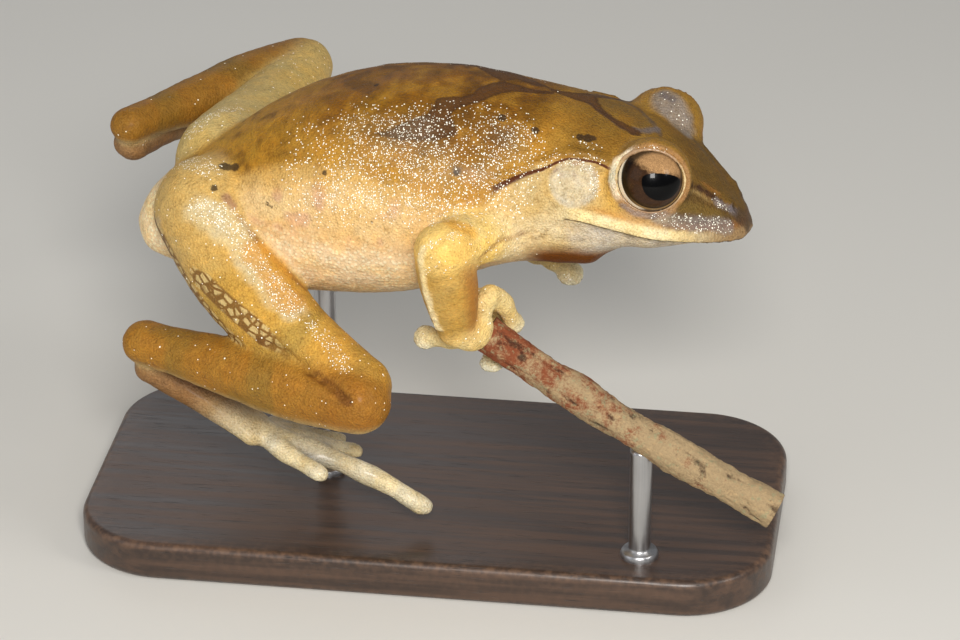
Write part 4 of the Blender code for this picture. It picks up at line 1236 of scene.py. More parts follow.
@dataclass
class Skin:
    """The whole skin as one surface: head, trunk, limbs, hands, feet and webs."""

    body: Anatomy = field(default_factory=Anatomy)
    finish: SkinFinish = field(default_factory=SkinFinish)
    grid: tuple = (
        ((-58.6, -12.0, 0.37), (-12.0, 10.8, 0.245)),
        ((-22.6, 13.0, 0.31), (13.0, 42.0, 0.42)),
        ((-39.0, -19.0, 0.35), (-19.0, 8.2, 0.295)),
    )
    relax_rounds: int = 4
    ridge_bead: float = 0.34
    ridge_step: float = 0.6
    ridge_out: tuple = (-0.572, 0.746, 0.336)
    drum_place: tuple = (-7.2, 0.43)
    drum_radius: float = 2.35
    nostril_place: tuple = (7.6, 1.02)
    fold_line: tuple = ((-3.6, -7.4, 1.2), (-4.3, -7.2, 1.5), (-5.4, -7.2, 1.85), (-6.7, -7.4, 2.05),
                        (-7.9, -7.5, 2.15), (-9.0, -7.9, 1.9), (-10.3, -8.3, 1.35), (-11.6, -8.8, 1.1),
                        (-12.9, -9.4, 0.7), (-14.2, -9.9, 0.2), (-15.3, -10.4, -0.3))
    canthus_line: tuple = ((2.6, -5.2, -0.2), (3.1, -4.7, -0.7), (5.4, -3.6, -2.6), (8.0, -1.5, -5.0))
    thigh_crease: tuple = ((-36.8, -15.4, -15.6), (-34.3, -16.4, -16.1), (-31.7, -18.0, -17.0),
                           (-29.0, -19.9, -17.6), (-26.7, -21.3, -19.0))
    creases: tuple = (
        ((-15.3, -15.2, -5.3), (-13.8, -12.8, -4.6), (-11.8, -10.3, -4.9), (-10.1, -9.7, -4.1)),
        ((-16.7, -12.5, -2.4), (-15.0, -10.8, -1.9), (-13.1, -10.6, -2.6), (-11.4, -9.9, -3.1),
         (-9.6, -9.6, -2.2)),
        ((-15.0, -10.8, -2.9), (-13.7, -10.4, -4.0), (-12.4, -10.0, -5.1), (-10.6, -9.4, -5.8),
         (-8.8, -9.6, -4.1)),
        ((-16.6, -10.4, -0.2), (-14.4, -10.0, -0.9), (-12.5, -9.4, -1.4), (-10.8, -9.3, -1.2)),
        ((-8.8, -9.6, -4.1), (-7.9, -9.5, -4.6), (-6.9, -9.3, -4.5)),
    )

    def build(self, place: Place) -> bpy.types.Object:
        """Makes, shapes, colours and dresses the skin."""
        flesh = self.flesh()
        volume = Volume(self.grid)
        for piece in flesh:
            volume.join(piece.form, piece.blend)
        for side in (-1, 1):
            centre = self.body.eye_centre(side)
            opening = Opening(centre, *self.body.lid_frame(side), self.body.lid_half_angle,
                              self.body.lid_flatness, self.body.eye_radius + 0.4)
            volume.carve(opening, 0.25)
            volume.carve(Ball(centre, self.body.eye_radius - 0.18), 0.1)
        surface = volume.skin()
        surface.relaxed(self.relax_rounds)
        SkinRelief(self).apply(surface)
        SkinPaint(self, flesh).apply(surface)
        piece = surface.made("skin", place, self.finish.material())
        LOG.info("skin: %d points, %d quads", len(surface.points), sum(len(g) for g in surface.faces))
        return piece

    def flesh(self) -> list[Flesh]:
        """All forms in the order in which they are joined."""
        body = self.body
        self.trunk = Trunk(body.sections)
        pieces = [Flesh(Part.TRUNK, 0, self.trunk, 0.01)]
        for side in (-1, 1):
            pieces.append(Flesh(Part.TRUNK, side, Ball(body.eye_centre(side), body.lid_radius), 1.0))
        for which, side in SIDES.items():
            pieces += self.leg(which, side) + self.arm(which, side)
        return pieces

    def leg(self, which: str, side: int) -> list[Flesh]:
        """Thigh, knee, shank, tarsus, toes and webs of one leg."""
        body = self.body
        thigh = Limb.straight(body.hip[which], body.knee_end(which, 1.0), body.thigh,
                              bow=body.thigh_bow[which])
        shank = Limb.straight(body.knee_end(which, -1.0), body.heel[which], body.shank,
                              scale=body.shank_scale[which])
        tarsus = Limb.straight(body.ankle[which], body.instep[which], body.tarsus, body.foot_flat[which])
        knee = Ball(body.knee[which], body.knee_radius * body.shank_scale[which])
        pieces = [Flesh(Part.THIGH, side, thigh, 0.9), Flesh(Part.SHANK, side, shank, 0.35),
                  Flesh(Part.THIGH, side, knee, 0.7), Flesh(Part.FOOT, side, tarsus, 0.8)]
        paths = []
        for shape in body.toes[which]:
            path, forms = self.digit(body.instep[which], *shape, Part.TOE, side)
            paths.append(path)
            pieces += forms
        for one, two in zip(paths, paths[1:]):
            pieces.append(Flesh(Part.WEB, side, self.web(one, two), 0.35))
        return pieces

    def arm(self, which: str, side: int) -> list[Flesh]:
        """Upper arm, forearm with its beaded edge, palm and fingers of one arm."""
        body = self.body
        upper = Limb.straight(body.shoulder[which], body.elbow[which], body.upper_arm)
        fore = Limb.straight(body.elbow[which], body.wrist[which], body.forearm, body.arm_flat[which])
        palm = Limb.straight(body.wrist[which], body.palm[which], body.palm_profile, body.hand_flat[which])
        pieces = [Flesh(Part.ARM, side, upper, 1.3), Flesh(Part.FOREARM, side, fore, 0.5),
                  Flesh(Part.HAND, side, palm, 0.6)]
        for shape in body.fingers[which]:
            pieces += self.digit(body.palm[which], *shape, Part.HAND, side)[1]
        line = self.ridge_line(which)
        beads = through(line, int(np.linalg.norm(np.diff(line, axis=0), axis=1).sum() / self.ridge_step))
        size = self.ridge_bead * (1 + 0.25 * lattice_noise(beads, 0.7, 5))
        pieces += [Flesh(Part.FOREARM, side, Ball(bead, radius), 0.22) for bead, radius in zip(beads, size)]
        return pieces

    def ridge_line(self, which: str) -> Array:
        """Line of the beaded edge along the forearm, from the elbow to the hand."""
        body = self.body
        side = SIDES[which]
        fore = Limb.straight(body.elbow[which], body.wrist[which], body.forearm, body.arm_flat[which])
        out = unit((self.ridge_out[0], self.ridge_out[1] * side, self.ridge_out[2]))
        share = np.linspace(0.02, 0.98, 9)
        steps = np.linspace(0, 1, len(fore.path))
        middle = np.column_stack([np.interp(share, steps, fore.path[:, k]) for k in range(3)])
        line = middle + np.interp(share, steps, fore.wide)[:, None] * out
        for _ in range(3):
            line = line - fore.distance(*line.T)[:, None] * out
        return line

    def digit(self, root: Sequence[float], points: Sequence, radius: float, disc: float,
              flat: Sequence[float], part: Part, side: int) -> tuple[Array, list[Flesh]]:
        """Finger or toe from ROOT through POINTS, thicker at its joints, with a flat disc at its tip.

        Args:
            root: the palm or instep.
            points: places that it passes, tip last.
            radius: mean radius of the digit.
            disc: radius of its disc.
            flat: direction out of the disc's flat side.
            part: part that it is coloured as.
            side: -1 right, 1 left.
        Returns:
            The middle line, and the forms.
        """
        stops = np.array([root, *points], float)
        path = through(stops, 5 * len(stops))
        share = np.linspace(0, 1, len(path))
        size = radius * (1.15 - 0.3 * share) * (1 + 0.07 * np.cos(2 * math.pi * share * len(points)))
        flat = unit(flat)
        across = unit(np.cross(path[-1] - path[-2], flat))
        forward = np.cross(flat, across)
        axes = np.array((forward * disc, across * disc, flat * (self.body.disc_half_thickness + 0.08)))
        pad = Ball(path[-1] + forward * 0.3 * disc, axes)
        tip_part = Part.DISC if part is Part.HAND else part
        return path, [Flesh(part, side, Limb(path, size, size, flat), 0.45), Flesh(tip_part, side, pad, 0.3)]

    def web(self, one: Array, two: Array) -> Film:
        """Web between two toes: straight lines from one to the other, shorter at its middle.

        A point is at share s across and share t along, t up to the reach times 1 - 0.3 sin(pi s).
        """
        across = np.linspace(0, 1, 56)[:, None]
        along = np.linspace(0, 1, 90)[None, :] * self.body.web_reach * (1 - 0.3 * np.sin(math.pi * across))
        lines = []
        for path in (one, two):
            steps = np.linspace(0, 1, len(path))
            lines.append(np.stack([np.interp(along, steps, path[:, k]) for k in range(3)], axis=-1))
        grid = lines[0] * (1 - across[..., None]) + lines[1] * across[..., None]
        return Film(grid.reshape(-1, 3), self.body.web_half_thickness)

    def wrinkles(self, points: Array) -> Array:
        """Depth of the fine wrinkles from 0 to 1: drawn lines, and where noise crosses 0 at the neck."""
        right = to_right(points)
        depth = np.zeros(len(points))
        for line in self.creases:
            gap, share = line_distance(right, line)
            gap = gap + 0.1 * lattice_noise(points, 0.6, 15)
            depth = np.maximum(depth, bell(gap, 0, 0.24) * rise(0, 0.12, share) * rise(1, 0.88, share))
        neck = rise(-18.5, -15.5, right[:, 0]) * rise(-7.6, -9.4, right[:, 0]) * rise(1.0, -0.8, right[:, 2])
        neck = neck * rise(-7.5, -5.5, right[:, 2])
        stretched = right * (0.75, 1.0, 1.35)
        return np.maximum(depth, neck * 0.8 * bell(lattice_noise(stretched, 1.1, 16), 0, 0.13))


@dataclass
class SkinRelief:
    """Small shapes of the skin: each is an amount in millimetres by which the points move outwards."""

    skin: Skin

    def apply(self, surface: Surface) -> None:
        """Moves the points along their normals, then once more for the fine lines."""
        points = surface.points
        surface.points = points + surface.normals() * self.head(points)[:, None]
        points = surface.points
        surface.points = points + surface.normals() * self.flesh(points)[:, None]

    def head(self, points: Array) -> Array:
        """Eardrums, folds over them, ridges of the snout, lips and nostrils."""
        skin = self.skin
        x, y, z = points.T
        right = to_right(points)
        over = z - skin.trunk.level(x)
        outer = rise(3.0, 6.0, np.abs(y) + np.maximum(x - 3, 0))
        reach = rise(-8.6, -7.4, x) * (1 - rise(8.6, 9.2, x) * 0.4)
        amount = reach * outer * 0.14 * bell(over, 0.55, 0.5)
        amount -= reach * outer * 0.10 * rise(0.10, -0.12, over) * rise(-2.4, -0.6, over)
        gap, share = line_distance(right, skin.fold_line)
        over_fold = height_over(right, skin.fold_line)
        near = rise(1.6, 0.8, gap) * rise(0.0, 0.12, share) * rise(1.0, 0.93, share)
        beads = 1 + 0.5 * lattice_noise(points, 0.42, 8)
        amount += near * (0.36 * bell(over_fold, 0.30, 0.36) * beads - 0.26 * bell(over_fold, -0.3, 0.28))
        for side in (-1, 1):
            gap = np.linalg.norm(points - skin.trunk.place(*skin.drum_place, side), axis=1)
            amount += (0.14 * bell(gap, skin.drum_radius + 0.1, 0.26) - 0.2 * rise(2.35, 1.9, gap)
                       + 0.12 * bell(gap, 0, 1.1))
            gap = np.linalg.norm(points - skin.trunk.place(*skin.nostril_place, side), axis=1)
            amount += 0.16 * bell(gap, 0.62, 0.28) - 0.36 * bell(gap, 0, 0.3)
        gap, share = line_distance(right, skin.canthus_line)
        over_line = height_over(right, skin.canthus_line)
        near = rise(1.8, 0.6, gap) * rise(0, 0.1, share) * rise(1.0, 0.85, share)
        amount += near * (0.22 * bell(over_line, 0.15, 0.5) - 0.26 * bell(over_line, -1.0, 0.6))
        return amount * rise(-17, -14, x)

    def flesh(self, points: Array) -> Array:
        """Soft unevenness everywhere, warts of the back, wrinkles of the neck, creases at the joints."""
        skin = self.skin
        amount = 0.07 * lattice_noise(points, 3.1, 1) + 0.035 * lattice_noise(points, 1.3, 2)
        amount += 0.03 * lattice_noise(points, 0.62, 3)
        amount -= 0.12 * skin.wrinkles(points)
        gap, share = line_distance(to_right(points), skin.thigh_crease)
        amount -= 0.5 * bell(gap, 0, 0.45) * rise(0, 0.1, share) * rise(1, 0.85, share)
        lid = np.linalg.norm(to_right(points) - skin.body.eye_centre(-1), axis=1)
        return amount * rise(3.2, 3.9, lid)


@dataclass(frozen=True)
class Stroke:
    """Soft stroke along a line on the skin: given on the right, and on the left as well if BOTH."""

    line: tuple
    width: float
    strength: float
    colour: tuple = (255, 255, 255)
    both: bool = True

    def share(self, points: Array) -> Array:
        """How strongly each point lies under it: full within half its width, uneven at its edge."""
        placed = to_right(points) if self.both else points
        line = np.asarray(self.line, float)
        margin = self.width + 0.6
        near = np.all((placed > line.min(0) - margin) & (placed < line.max(0) + margin), axis=1)
        some = placed[near]
        if len(line) > 1:
            gap, _ = line_distance(some, line)
        else:
            gap = np.linalg.norm(some - line[0], axis=1)
        gap = gap + 0.22 * self.width * lattice_noise(some, 0.5 + 0.3 * self.width, 91)
        result = np.zeros(len(points))
        result[near] = self.strength * rise(self.width, 0.5 * self.width, gap)
        return result


@dataclass
class SkinPaint:
    """Colours of the skin's parts, the places of its markings, and where shade and highlights are painted on.
    """

    skin: Skin
    flesh: list[Flesh]
    back_edge: tuple = ((-52.5, -7.0), (-47.0, -5.4), (-43.2, -3.9), (-38.0, -1.1), (-33.0, 0.5),
                        (-28.1, 0.9), (-23.3, -0.3), (-18.7, -1.3), (-15.9, -1.7), (-13.0, 0.2),
                        (-10.4, 1.6), (-7.8, 2.2), (-5.8, 2.0), (-4.2, 1.3), (0.0, 0.8), (3.1, -0.7),
                        (5.4, -2.6), (8.0, -5.0), (9.6, -7.0))
    near_band: tuple = ((-27.3, -8.0), (-25.6, -7.9), (-24.3, -7.3), (-23.0, -6.7), (-21.7, -6.1),
                        (-21.2, -5.0), (-21.2, -4.1), (-19.9, -3.8), (-18.7, -3.5), (-17.8, -2.7),
                        (-17.3, -1.5), (-16.4, -0.7), (-15.4, 0.4), (-13.8, 0.3), (-11.9, 0.2), (-10.2, 0.9),
                        (-10.4, 0.2), (-11.8, -0.6), (-13.6, -1.1), (-15.3, -2.3), (-16.5, -3.7),
                        (-17.8, -4.6), (-19.0, -5.4), (-19.5, -6.3), (-18.8, -7.2), (-18.6, -7.9),
                        (-20.0, -8.4), (-21.8, -8.7), (-23.6, -8.7), (-25.1, -8.4))
    far_band: tuple = ((-15.2, 0.2), (-16.5, 1.1), (-17.4, 2.5), (-18.4, 4.0), (-21.0, 4.4), (-21.6, 6.0),
                       (-24.3, 7.3), (-27.0, 8.0), (-25.1, 8.6), (-21.8, 8.8), (-18.8, 8.0), (-18.6, 7.0),
                       (-16.4, 5.6), (-14.3, 4.3), (-12.2, 2.6), (-10.0, 1.3), (-12.0, 1.3), (-14.0, 1.7))
    between_eyes: tuple = ((-10.9, 0.9), (-8.9, 0.5), (-7.0, 0.2), (-6.2, -0.6), (-4.9, -1.8), (-3.6, -2.7),
                           (-2.3, -3.2), (-1.5, -2.9), (-1.5, -2.2), (-2.6, -2.0), (-4.0, -1.6),
                           (-5.2, -0.3), (-5.9, 0.9), (-6.2, 2.2), (-5.2, 3.4), (-3.4, 4.6), (-2.9, 5.8),
                           (-4.6, 5.6), (-6.8, 3.6), (-8.6, 2.0), (-10.6, 1.5))
    spots: tuple = ((-14.6, -5.3, 4.9, 0.45), (-11.3, -5.8, 4.0, 0.42), (-18.3, -10.2, 1.1, 0.32),
                    (-7.0, -5.3, 3.4, 0.42), (-6.3, -5.2, 3.3, 0.5), (-5.7, -5.1, 3.3, 0.3),
                    (-41.8, -5.7, -1.9, 0.6), (-40.7, -5.8, -1.8, 0.5), (-42.3, -8.4, -2.9, 0.35),
                    (-31.2, -9.8, 0.1, 0.26), (-37.0, -9.0, -3.9, 0.2), (-36.5, -9.3, -4.1, 0.16),
                    (-26.3, -11.9, -3.8, 0.16), (-13.2, 5.0, 4.9, 0.45), (-17.6, 8.2, 3.4, 0.4),
                    (-30.0, 6.5, 3.6, 0.42), (-36.5, 4.0, 1.8, 0.4), (-27.4, -1.8, 6.1, 0.3))
    strokes: tuple = (
        Stroke(((-5.3, 1.3, 4.0), (-3.8, 1.6, 3.4), (-1.7, 0.2, 3.1), (-1.4, -1.2, 3.0)), 1.5, 0.75,
               (126, 96, 42), both=False),
        Stroke(((-7.9, 1.7, 4.6), (-5.7, -0.7, 4.1), (-3.6, -2.4, 3.5), (-2.2, -2.8, 3.0)), 0.3, 0.7,
               (98, 88, 92), both=False),
        Stroke(((-4.9, 4.5, 3.3), (-2.4, 2.9, 3.0), (-0.4, -0.3, 2.8), (0.3, -1.5, 2.4)), 0.4, 0.8,
               (96, 80, 66), both=False),
        Stroke(((-2.1, -2.2, 3.1), (-1.2, -2.0, 2.9), (-0.1, -0.8, 2.6)), 0.5, 0.8, (112, 102, 100),
               both=False),
        Stroke(((0.3, 4.6, 3.5), (1.7, 3.6, 2.3), (2.2, 3.0, 1.2)), 1.9, 0.85, (140, 131, 124), both=False),
        Stroke(((1.3, 2.2, 2.4), (1.2, 3.2, 2.9)), 0.5, 0.7, (104, 96, 98), both=False),
        Stroke(((-0.2, 5.2, 3.9), (0.9, 4.8, 3.5)), 0.6, 0.7, (100, 92, 96), both=False),
        Stroke(((-3.5, -7.0, 1.1), (-3.9, -7.1, 0.1)), 0.75, 0.8, (216, 212, 186)),
        # Painted shade: a grey-lilac line under the eye.
        Stroke(((-2.6, -8.1, -2.4), (-1.5, -8.2, -3.0), (0.3, -8.2, -3.2)), 0.5, 0.7, (150, 138, 134)),
        Stroke(((3.0, -7.3, -2.3), (4.7, -5.6, -3.4), (6.5, -4.4, -4.6)), 0.75, 0.75, (118, 94, 42)),
        Stroke(((3.2, -6.6, -0.2), (4.5, -4.5, -1.6), (5.9, -3.8, -2.9), (7.2, -3.1, -4.3)), 0.45, 0.95,
               (66, 42, 24)),
        Stroke(((3.4, -6.0, 0.2), (4.7, -3.9, -1.1), (6.3, -3.0, -2.8)), 0.4, 0.35, (166, 110, 52)),
        Stroke(((0.9, -8.2, -3.2), (3.1, -7.4, -4.1), (5.6, -5.5, -4.9), (7.4, -3.9, -5.8)), 1.0, 0.6,
               (116, 110, 116)),
        Stroke(((6.2, -3.8, -3.3), (7.2, -3.1, -4.2)), 0.45, 0.5, (150, 140, 142)),
        Stroke(((7.5, -2.8, -4.5), (7.9, -2.4, -4.9)), 0.6, 0.8, (116, 112, 122)),
        Stroke(((8.1, -1.9, -5.6), (8.8, -1.3, -6.5), (9.0, 0.0, -6.4)), 1.3, 0.85, (76, 58, 42)),
        Stroke(((-50.4, -2.1, -8.2), (-50.6, -3.0, -8.8)), 1.9, 0.85, (252, 238, 196)),
        Stroke(((-18.3, -10.2, 1.3),), 0.55, 0.8, (72, 66, 70)),
        # Groin: partly its own mauve-brown, partly painted shade in its hollow.
        Stroke(((-41.0, -8.6, -3.9), (-40.4, -8.9, -4.4)), 0.7, 0.7, (150, 108, 92)),
        # Painted shade in the crease between the thigh and the shank.
        Stroke(((-36.8, -15.4, -15.6), (-34.3, -16.4, -16.1), (-31.7, -18.0, -17.0), (-29.0, -19.9, -17.6),
               (-27.2, -21.1, -18.7)), 0.6, 0.75, (104, 62, 24)),
        # Painted shade: a grey patch under the vent.
        Stroke(((-48.2, -7.7, -7.7), (-47.2, -7.6, -6.9)), 1.1, 0.6, (166, 156, 142)),
        # Painted shade in the crease where the thigh meets the belly.
        Stroke(((-39.8, -9.4, -5.5), (-38.2, -9.8, -7.2), (-35.7, -10.4, -9.7), (-33.2, -10.3, -12.3)), 0.45,
               0.6, (118, 72, 38)),
        Stroke(((-43.2, -9.9, -4.9), (-39.8, -10.6, -6.8), (-37.5, -12.2, -9.3), (-33.9, -13.8, -12.5)), 2.0,
               0.65, (214, 202, 166)),
        Stroke(((-37.6, -10.8, -8.4), (-35.7, -11.4, -10.2), (-34.2, -13.3, -12.2)), 2.0, 0.7,
               (208, 150, 54)),
        Stroke(((-17.6, -15.3, -1.9), (-16.2, -15.0, -2.7)), 1.2, 0.7, (232, 172, 66)),
        # Painted shade along the fold under the upper arm.
        Stroke(((-15.3, -15.2, -5.3), (-13.8, -12.8, -4.6), (-11.8, -10.3, -4.9)), 0.4, 0.5, (150, 104, 60)),
        Stroke(((-19.9, -16.3, -5.2), (-19.5, -15.6, -8.2), (-18.9, -14.6, -10.8), (-18.3, -13.9, -12.5)),
               0.55, 0.6, (150, 96, 48)),
    )
    # Painted highlights: white glints on the legs, flank, arm, head and lids, given as strokes.
    painted_glint_strokes: tuple = (
        Stroke(((-43.2, -9.9, -4.7), (-39.5, -9.9, -6.1), (-38.3, -11.3, -8.4), (-33.8, -13.8, -12.5)), 1.6,
               0.6),
        Stroke(((-31.7, -15.0, -13.8), (-30.1, -16.0, -14.8), (-27.9, -18.2, -16.5)), 0.9, 0.5),
        Stroke(((-46.7, -3.4, -2.4), (-45.1, -5.2, -1.7), (-43.1, -6.8, -1.8)), 1.4, 0.5),
        Stroke(((0.9, -8.2, -3.2), (3.1, -7.4, -4.1), (5.6, -5.5, -4.9), (7.4, -3.9, -5.8)), 0.85, 0.7),
        Stroke(((6.0, -3.9, -3.1), (7.2, -3.2, -4.2)), 0.5, 0.5),
        Stroke(((-10.8, -8.5, 1.4), (-9.0, -7.9, 2.4), (-7.2, -7.4, 2.7), (-5.4, -7.2, 2.2),
               (-4.5, -7.2, 1.8)), 0.35, 0.55),
        Stroke(((-19.8, -15.6, -1.9), (-18.0, -12.1, -2.2)), 0.5, 1.0),
        Stroke(((-19.8, -17.9, -2.9), (-17.4, -16.9, -2.2)), 0.5, 1.0),
        Stroke(((-14.5, -8.8, 1.9), (-13.5, -8.1, 2.5), (-12.0, -6.4, 3.8)), 1.2, 0.6),
        Stroke(((-7.6, -5.7, 3.0), (-6.4, -5.9, 2.7), (-5.3, -5.7, 2.6)), 0.5, 0.4),
        Stroke(((-2.2, -7.7, 2.9), (-0.6, -7.4, 3.4), (1.0, -7.2, 3.4)), 0.5, 0.6),
        Stroke(((0.3, 4.6, 3.5), (1.7, 3.6, 2.3)), 1.6, 0.06, both=False),
        Stroke(((-20.0, -10.6, 0.6), (-16.5, -10.6, -0.6), (-12.6, -9.9, -2.0)), 1.6, 0.5),
    )
    net_line: tuple = ((-46.2, -10.2, -10.0), (-42.6, -12.3, -11.3), (-39.2, -14.0, -13.4),
                       (-37.4, -15.0, -14.4), (-36.0, -15.7, -15.3), (-31.8, -17.3, -16.5),
                       (-28.7, -19.2, -17.3))
    wet_parts: tuple = (Part.DISC, Part.TOE, Part.WEB)
    plain_parts: dict = field(default_factory=lambda: {
        Part.HAND: ((240, 220, 162), (230, 200, 130), 1.6, 42),
        Part.DISC: ((230, 226, 204), (206, 202, 176), 1.0, 43),
        Part.TOE: ((232, 222, 192), (208, 194, 156), 1.4, 53),
        Part.WEB: ((142, 146, 154), (108, 112, 122), 1.2, 54)})

    def apply(self, surface: Surface) -> None:
        """Writes the colour and the pattern values at every point."""
        points = surface.points
        weights = self.weights(points)
        tint = np.zeros((len(points), 3))
        painters: dict[Part, Callable[[Array, int], Array]] = {
            Part.TRUNK: self.trunk, Part.ARM: self.arm, Part.FOREARM: self.forearm, Part.THIGH: self.thigh,
            Part.SHANK: self.shank, Part.FOOT: self.foot}
        for (part, side), weight in weights.items():
            used = weight > 0.003
            if part in painters:
                colour = painters[part](points[used], side)
            else:
                colour = clouded(points[used], *self.plain_parts[part])
            tint[used] += weight[used, None] * colour
        trunk = sum(weight for (part, _), weight in weights.items() if part is Part.TRUNK)
        tint = self.lids(points, tint)
        for stroke in self.strokes:
            tint = blended(tint, tone(*stroke.colour), stroke.share(points))
        over = points[:, 2] - self.edge(points[:, 0])
        along, around = self.leg_map(points)
        surface.values.update({
            "tint": tint, "mark": self.marks(points), "mark_weight": trunk * rise(-0.3, 1.7, over),
            "spot": self.spot_distance(points), "belly": self.belly(points, trunk, weights),
            "glitter": self.glitter(points, trunk, weights), "net": self.net(points, weights),
            "leg_along": along, "leg_round": around, "crease": self.crease_distance(points),
            "mouth": self.mouth(points, trunk),
            "wet": sum(share for (part, _), share in weights.items() if part in self.wet_parts)})
        surface.values["fold"], surface.values["fold_weight"] = self.fold(points)

    def weights(self, points: Array) -> dict[tuple[Part, int], Array]:
        """Share of each part at each point: exp(-distance / 0.3), made to add up to 1."""
        nearest: dict[tuple[Part, int], Array] = {}
        x, y, z = points.T
        for piece in self.flesh:
            key = (piece.part, piece.side if piece.part is not Part.TRUNK else 0)
            if isinstance(piece.form, Film):
                gap = self.film_distance(piece.form, points)
            else:
                near = np.all((points > piece.form.low - 2) & (points < piece.form.high + 2), axis=1)
                gap = np.full(len(points), FAR)
                gap[near] = piece.form.distance(x[near], y[near], z[near])
            nearest[key] = np.minimum(nearest.get(key, FAR), gap)
        least = np.minimum.reduce(list(nearest.values()))
        shares = {key: np.exp(-(gap - least) / 0.3) for key, gap in nearest.items()}
        total = sum(shares.values())
        return {key: share / total for key, share in shares.items()}

    @staticmethod
    def film_distance(film: Film, points: Array) -> Array:
        """Distance of scattered points to a film, by its box and then every fourth point of it."""
        near = np.all((points > film.low - 0.5) & (points < film.high + 0.5), axis=1)
        gap = np.full(len(points), FAR)
        some = points[near]
        best = np.full(len(some), FAR)
        for start in range(0, len(film.points), 240):
            block = film.points[start:start + 240:4]
            best = np.minimum(best, np.linalg.norm(some[:, None] - block[None], axis=2).min(1))
        gap[near] = best - film.half
        return gap

    def edge(self, x: Array) -> Array:
        """Level of the line between the brown back and the pale side."""
        return np.interp(x, *np.array(self.back_edge).T)

    def trunk(self, points: Array, side: int) -> Array:
        """Brown mottled back with a golden edge, peach flank with mauve mottles, cream belly, pale vent."""
        x, z = points[:, 0], points[:, 2]
        over = z - self.edge(x) + 0.45 * lattice_noise(points, 2.6, 11)
        wave = 0.5 + 0.5 * lattice_noise(points, 4.5, 12)
        grain = 0.6 * lattice_noise(points, 0.8, 31) + 0.55 * lattice_noise(points, 2.0, 32)
        low = rise(5.0, 0.8, over) * rise(-38, -31, x) * rise(-5.5, -9.5, x)
        back = blended(tone(124, 80, 9), tone(108, 69, 12), rise(-19, -9, x))
        back = layered(back, ((202, 152, 54), rise(-30, -44, x)), ((158, 116, 26), wave * 0.45),
                       ((80, 50, 12), rise(0.05, 0.5, grain) * 0.55),
                       ((190, 142, 50), rise(-0.1, -0.5, grain) * 0.35),
                       ((196, 146, 56), low * (0.5 + 0.5 * wave)))
        mottle = rise(0.25, 0.7, lattice_noise(points, 1.5, 13)) * rise(-44, -38, x)
        flank = blended(tone(234, 202, 144), tone(224, 188, 134), wave)
        flank = layered(flank, ((206, 156, 138), mottle * 0.5))
        colour = blended(tone(244, 228, 190), flank, rise(-8.4, -5.4, z - self.edge(x) * 0.3))
        colour = layered(colour, ((208, 166, 88), rise(-2.6, -0.6, over) * rise(-47, -42, x) * 0.8))
        colour = blended(colour, back, rise(-0.8, 0.5, over))
        colour = layered(colour, ((255, 240, 200), rise(-47.0, -50.4, x)))
        return self.head(points, colour, over)

    def head(self, points: Array, colour: Array, over: Array) -> Array:
        """Head: brown top, golden cheek, olive snout, cream lip, mottled jaw, orange-brown throat darkened by
        painted shade, drums, and nostrils painted dark as shade in their holes.
        """
        x, trunk = points[:, 0], self.skin.trunk
        lip = points[:, 2] - trunk.level(x)
        top = blended(tone(142, 106, 38), tone(108, 82, 34), rise(-2, 4, x))
        colour = blended(colour, top, rise(-12, -5, x) * rise(-0.2, 0.5, over) * 0.9)
        side = rise(0.3, -0.3, over)
        cheek = rise(-16, -11, x) * side * rise(-5.5, -3.0, lip)
        under_eye = rise(-7, -4, x) * rise(2.2, 1.6, lip) * rise(0.9, 1.2, lip)
        colour = layered(colour, ((202, 176, 122), cheek),
                         ((214, 170, 86), cheek * bell(x, -3.6, 1.5) * rise(0.8, 1.6, lip)),
                         ((98, 74, 34), rise(1.2, 3.2, x) * side), ((196, 128, 70), under_eye * 0.35))
        edge = blended(tone(238, 222, 176), tone(160, 130, 90), rise(1.0, 8.0, x))
        colour = blended(colour, edge, rise(-9.5, -6.5, x) * rise(1.5, 1.0, lip) * rise(-0.2, 0.0, lip))
        jaw = rise(-9.0, -6.0, x) * rise(0.02, -0.14, lip)
        mottle = rise(0.1, 0.5, lattice_noise(points, 0.7, 22))
        # Orange-brown throat: partly its own colour, partly painted shade under the jaw.
        throat = rise(-14.0, -10.0, x) * rise(-2.6, -4.6, lip) * rise(3.5, -1.0, x)
        neck = rise(-16, -14, x) * rise(-7.5, -9, x) * bell(lip, -1.2, 1.5)
        colour = layered(colour, ((206, 196, 180), jaw), ((146, 134, 124), jaw * mottle * 0.4),
                         ((116, 66, 16), throat), ((232, 216, 180), neck * 0.6))
        right = to_right(points)
        silver = tone(204, 192, 166) * (1 + 0.10 * lattice_noise(points, 0.45, 23))[:, None]
        high = rise(0.0, 1.6, right[:, 2]) * rise(0.0, 0.5, lattice_noise(points, 0.6, 24))
        silver = layered(silver, ((160, 132, 116), high * 0.8))
        under_fold = rise(0.15, -0.15, height_over(right, self.skin.fold_line))
        for s in (-1, 1):
            gap = np.linalg.norm(points - trunk.place(*self.skin.drum_place, s), axis=1)
            colour = blended(colour, silver, rise(2.5, 2.2, gap) * under_fold)
            # Nostril opening painted dark as shade in its hole.
            gap = np.linalg.norm(points - trunk.place(*self.skin.nostril_place, s), axis=1)
            colour = layered(colour, ((40, 30, 26), rise(0.42, 0.2, gap)))
        return colour

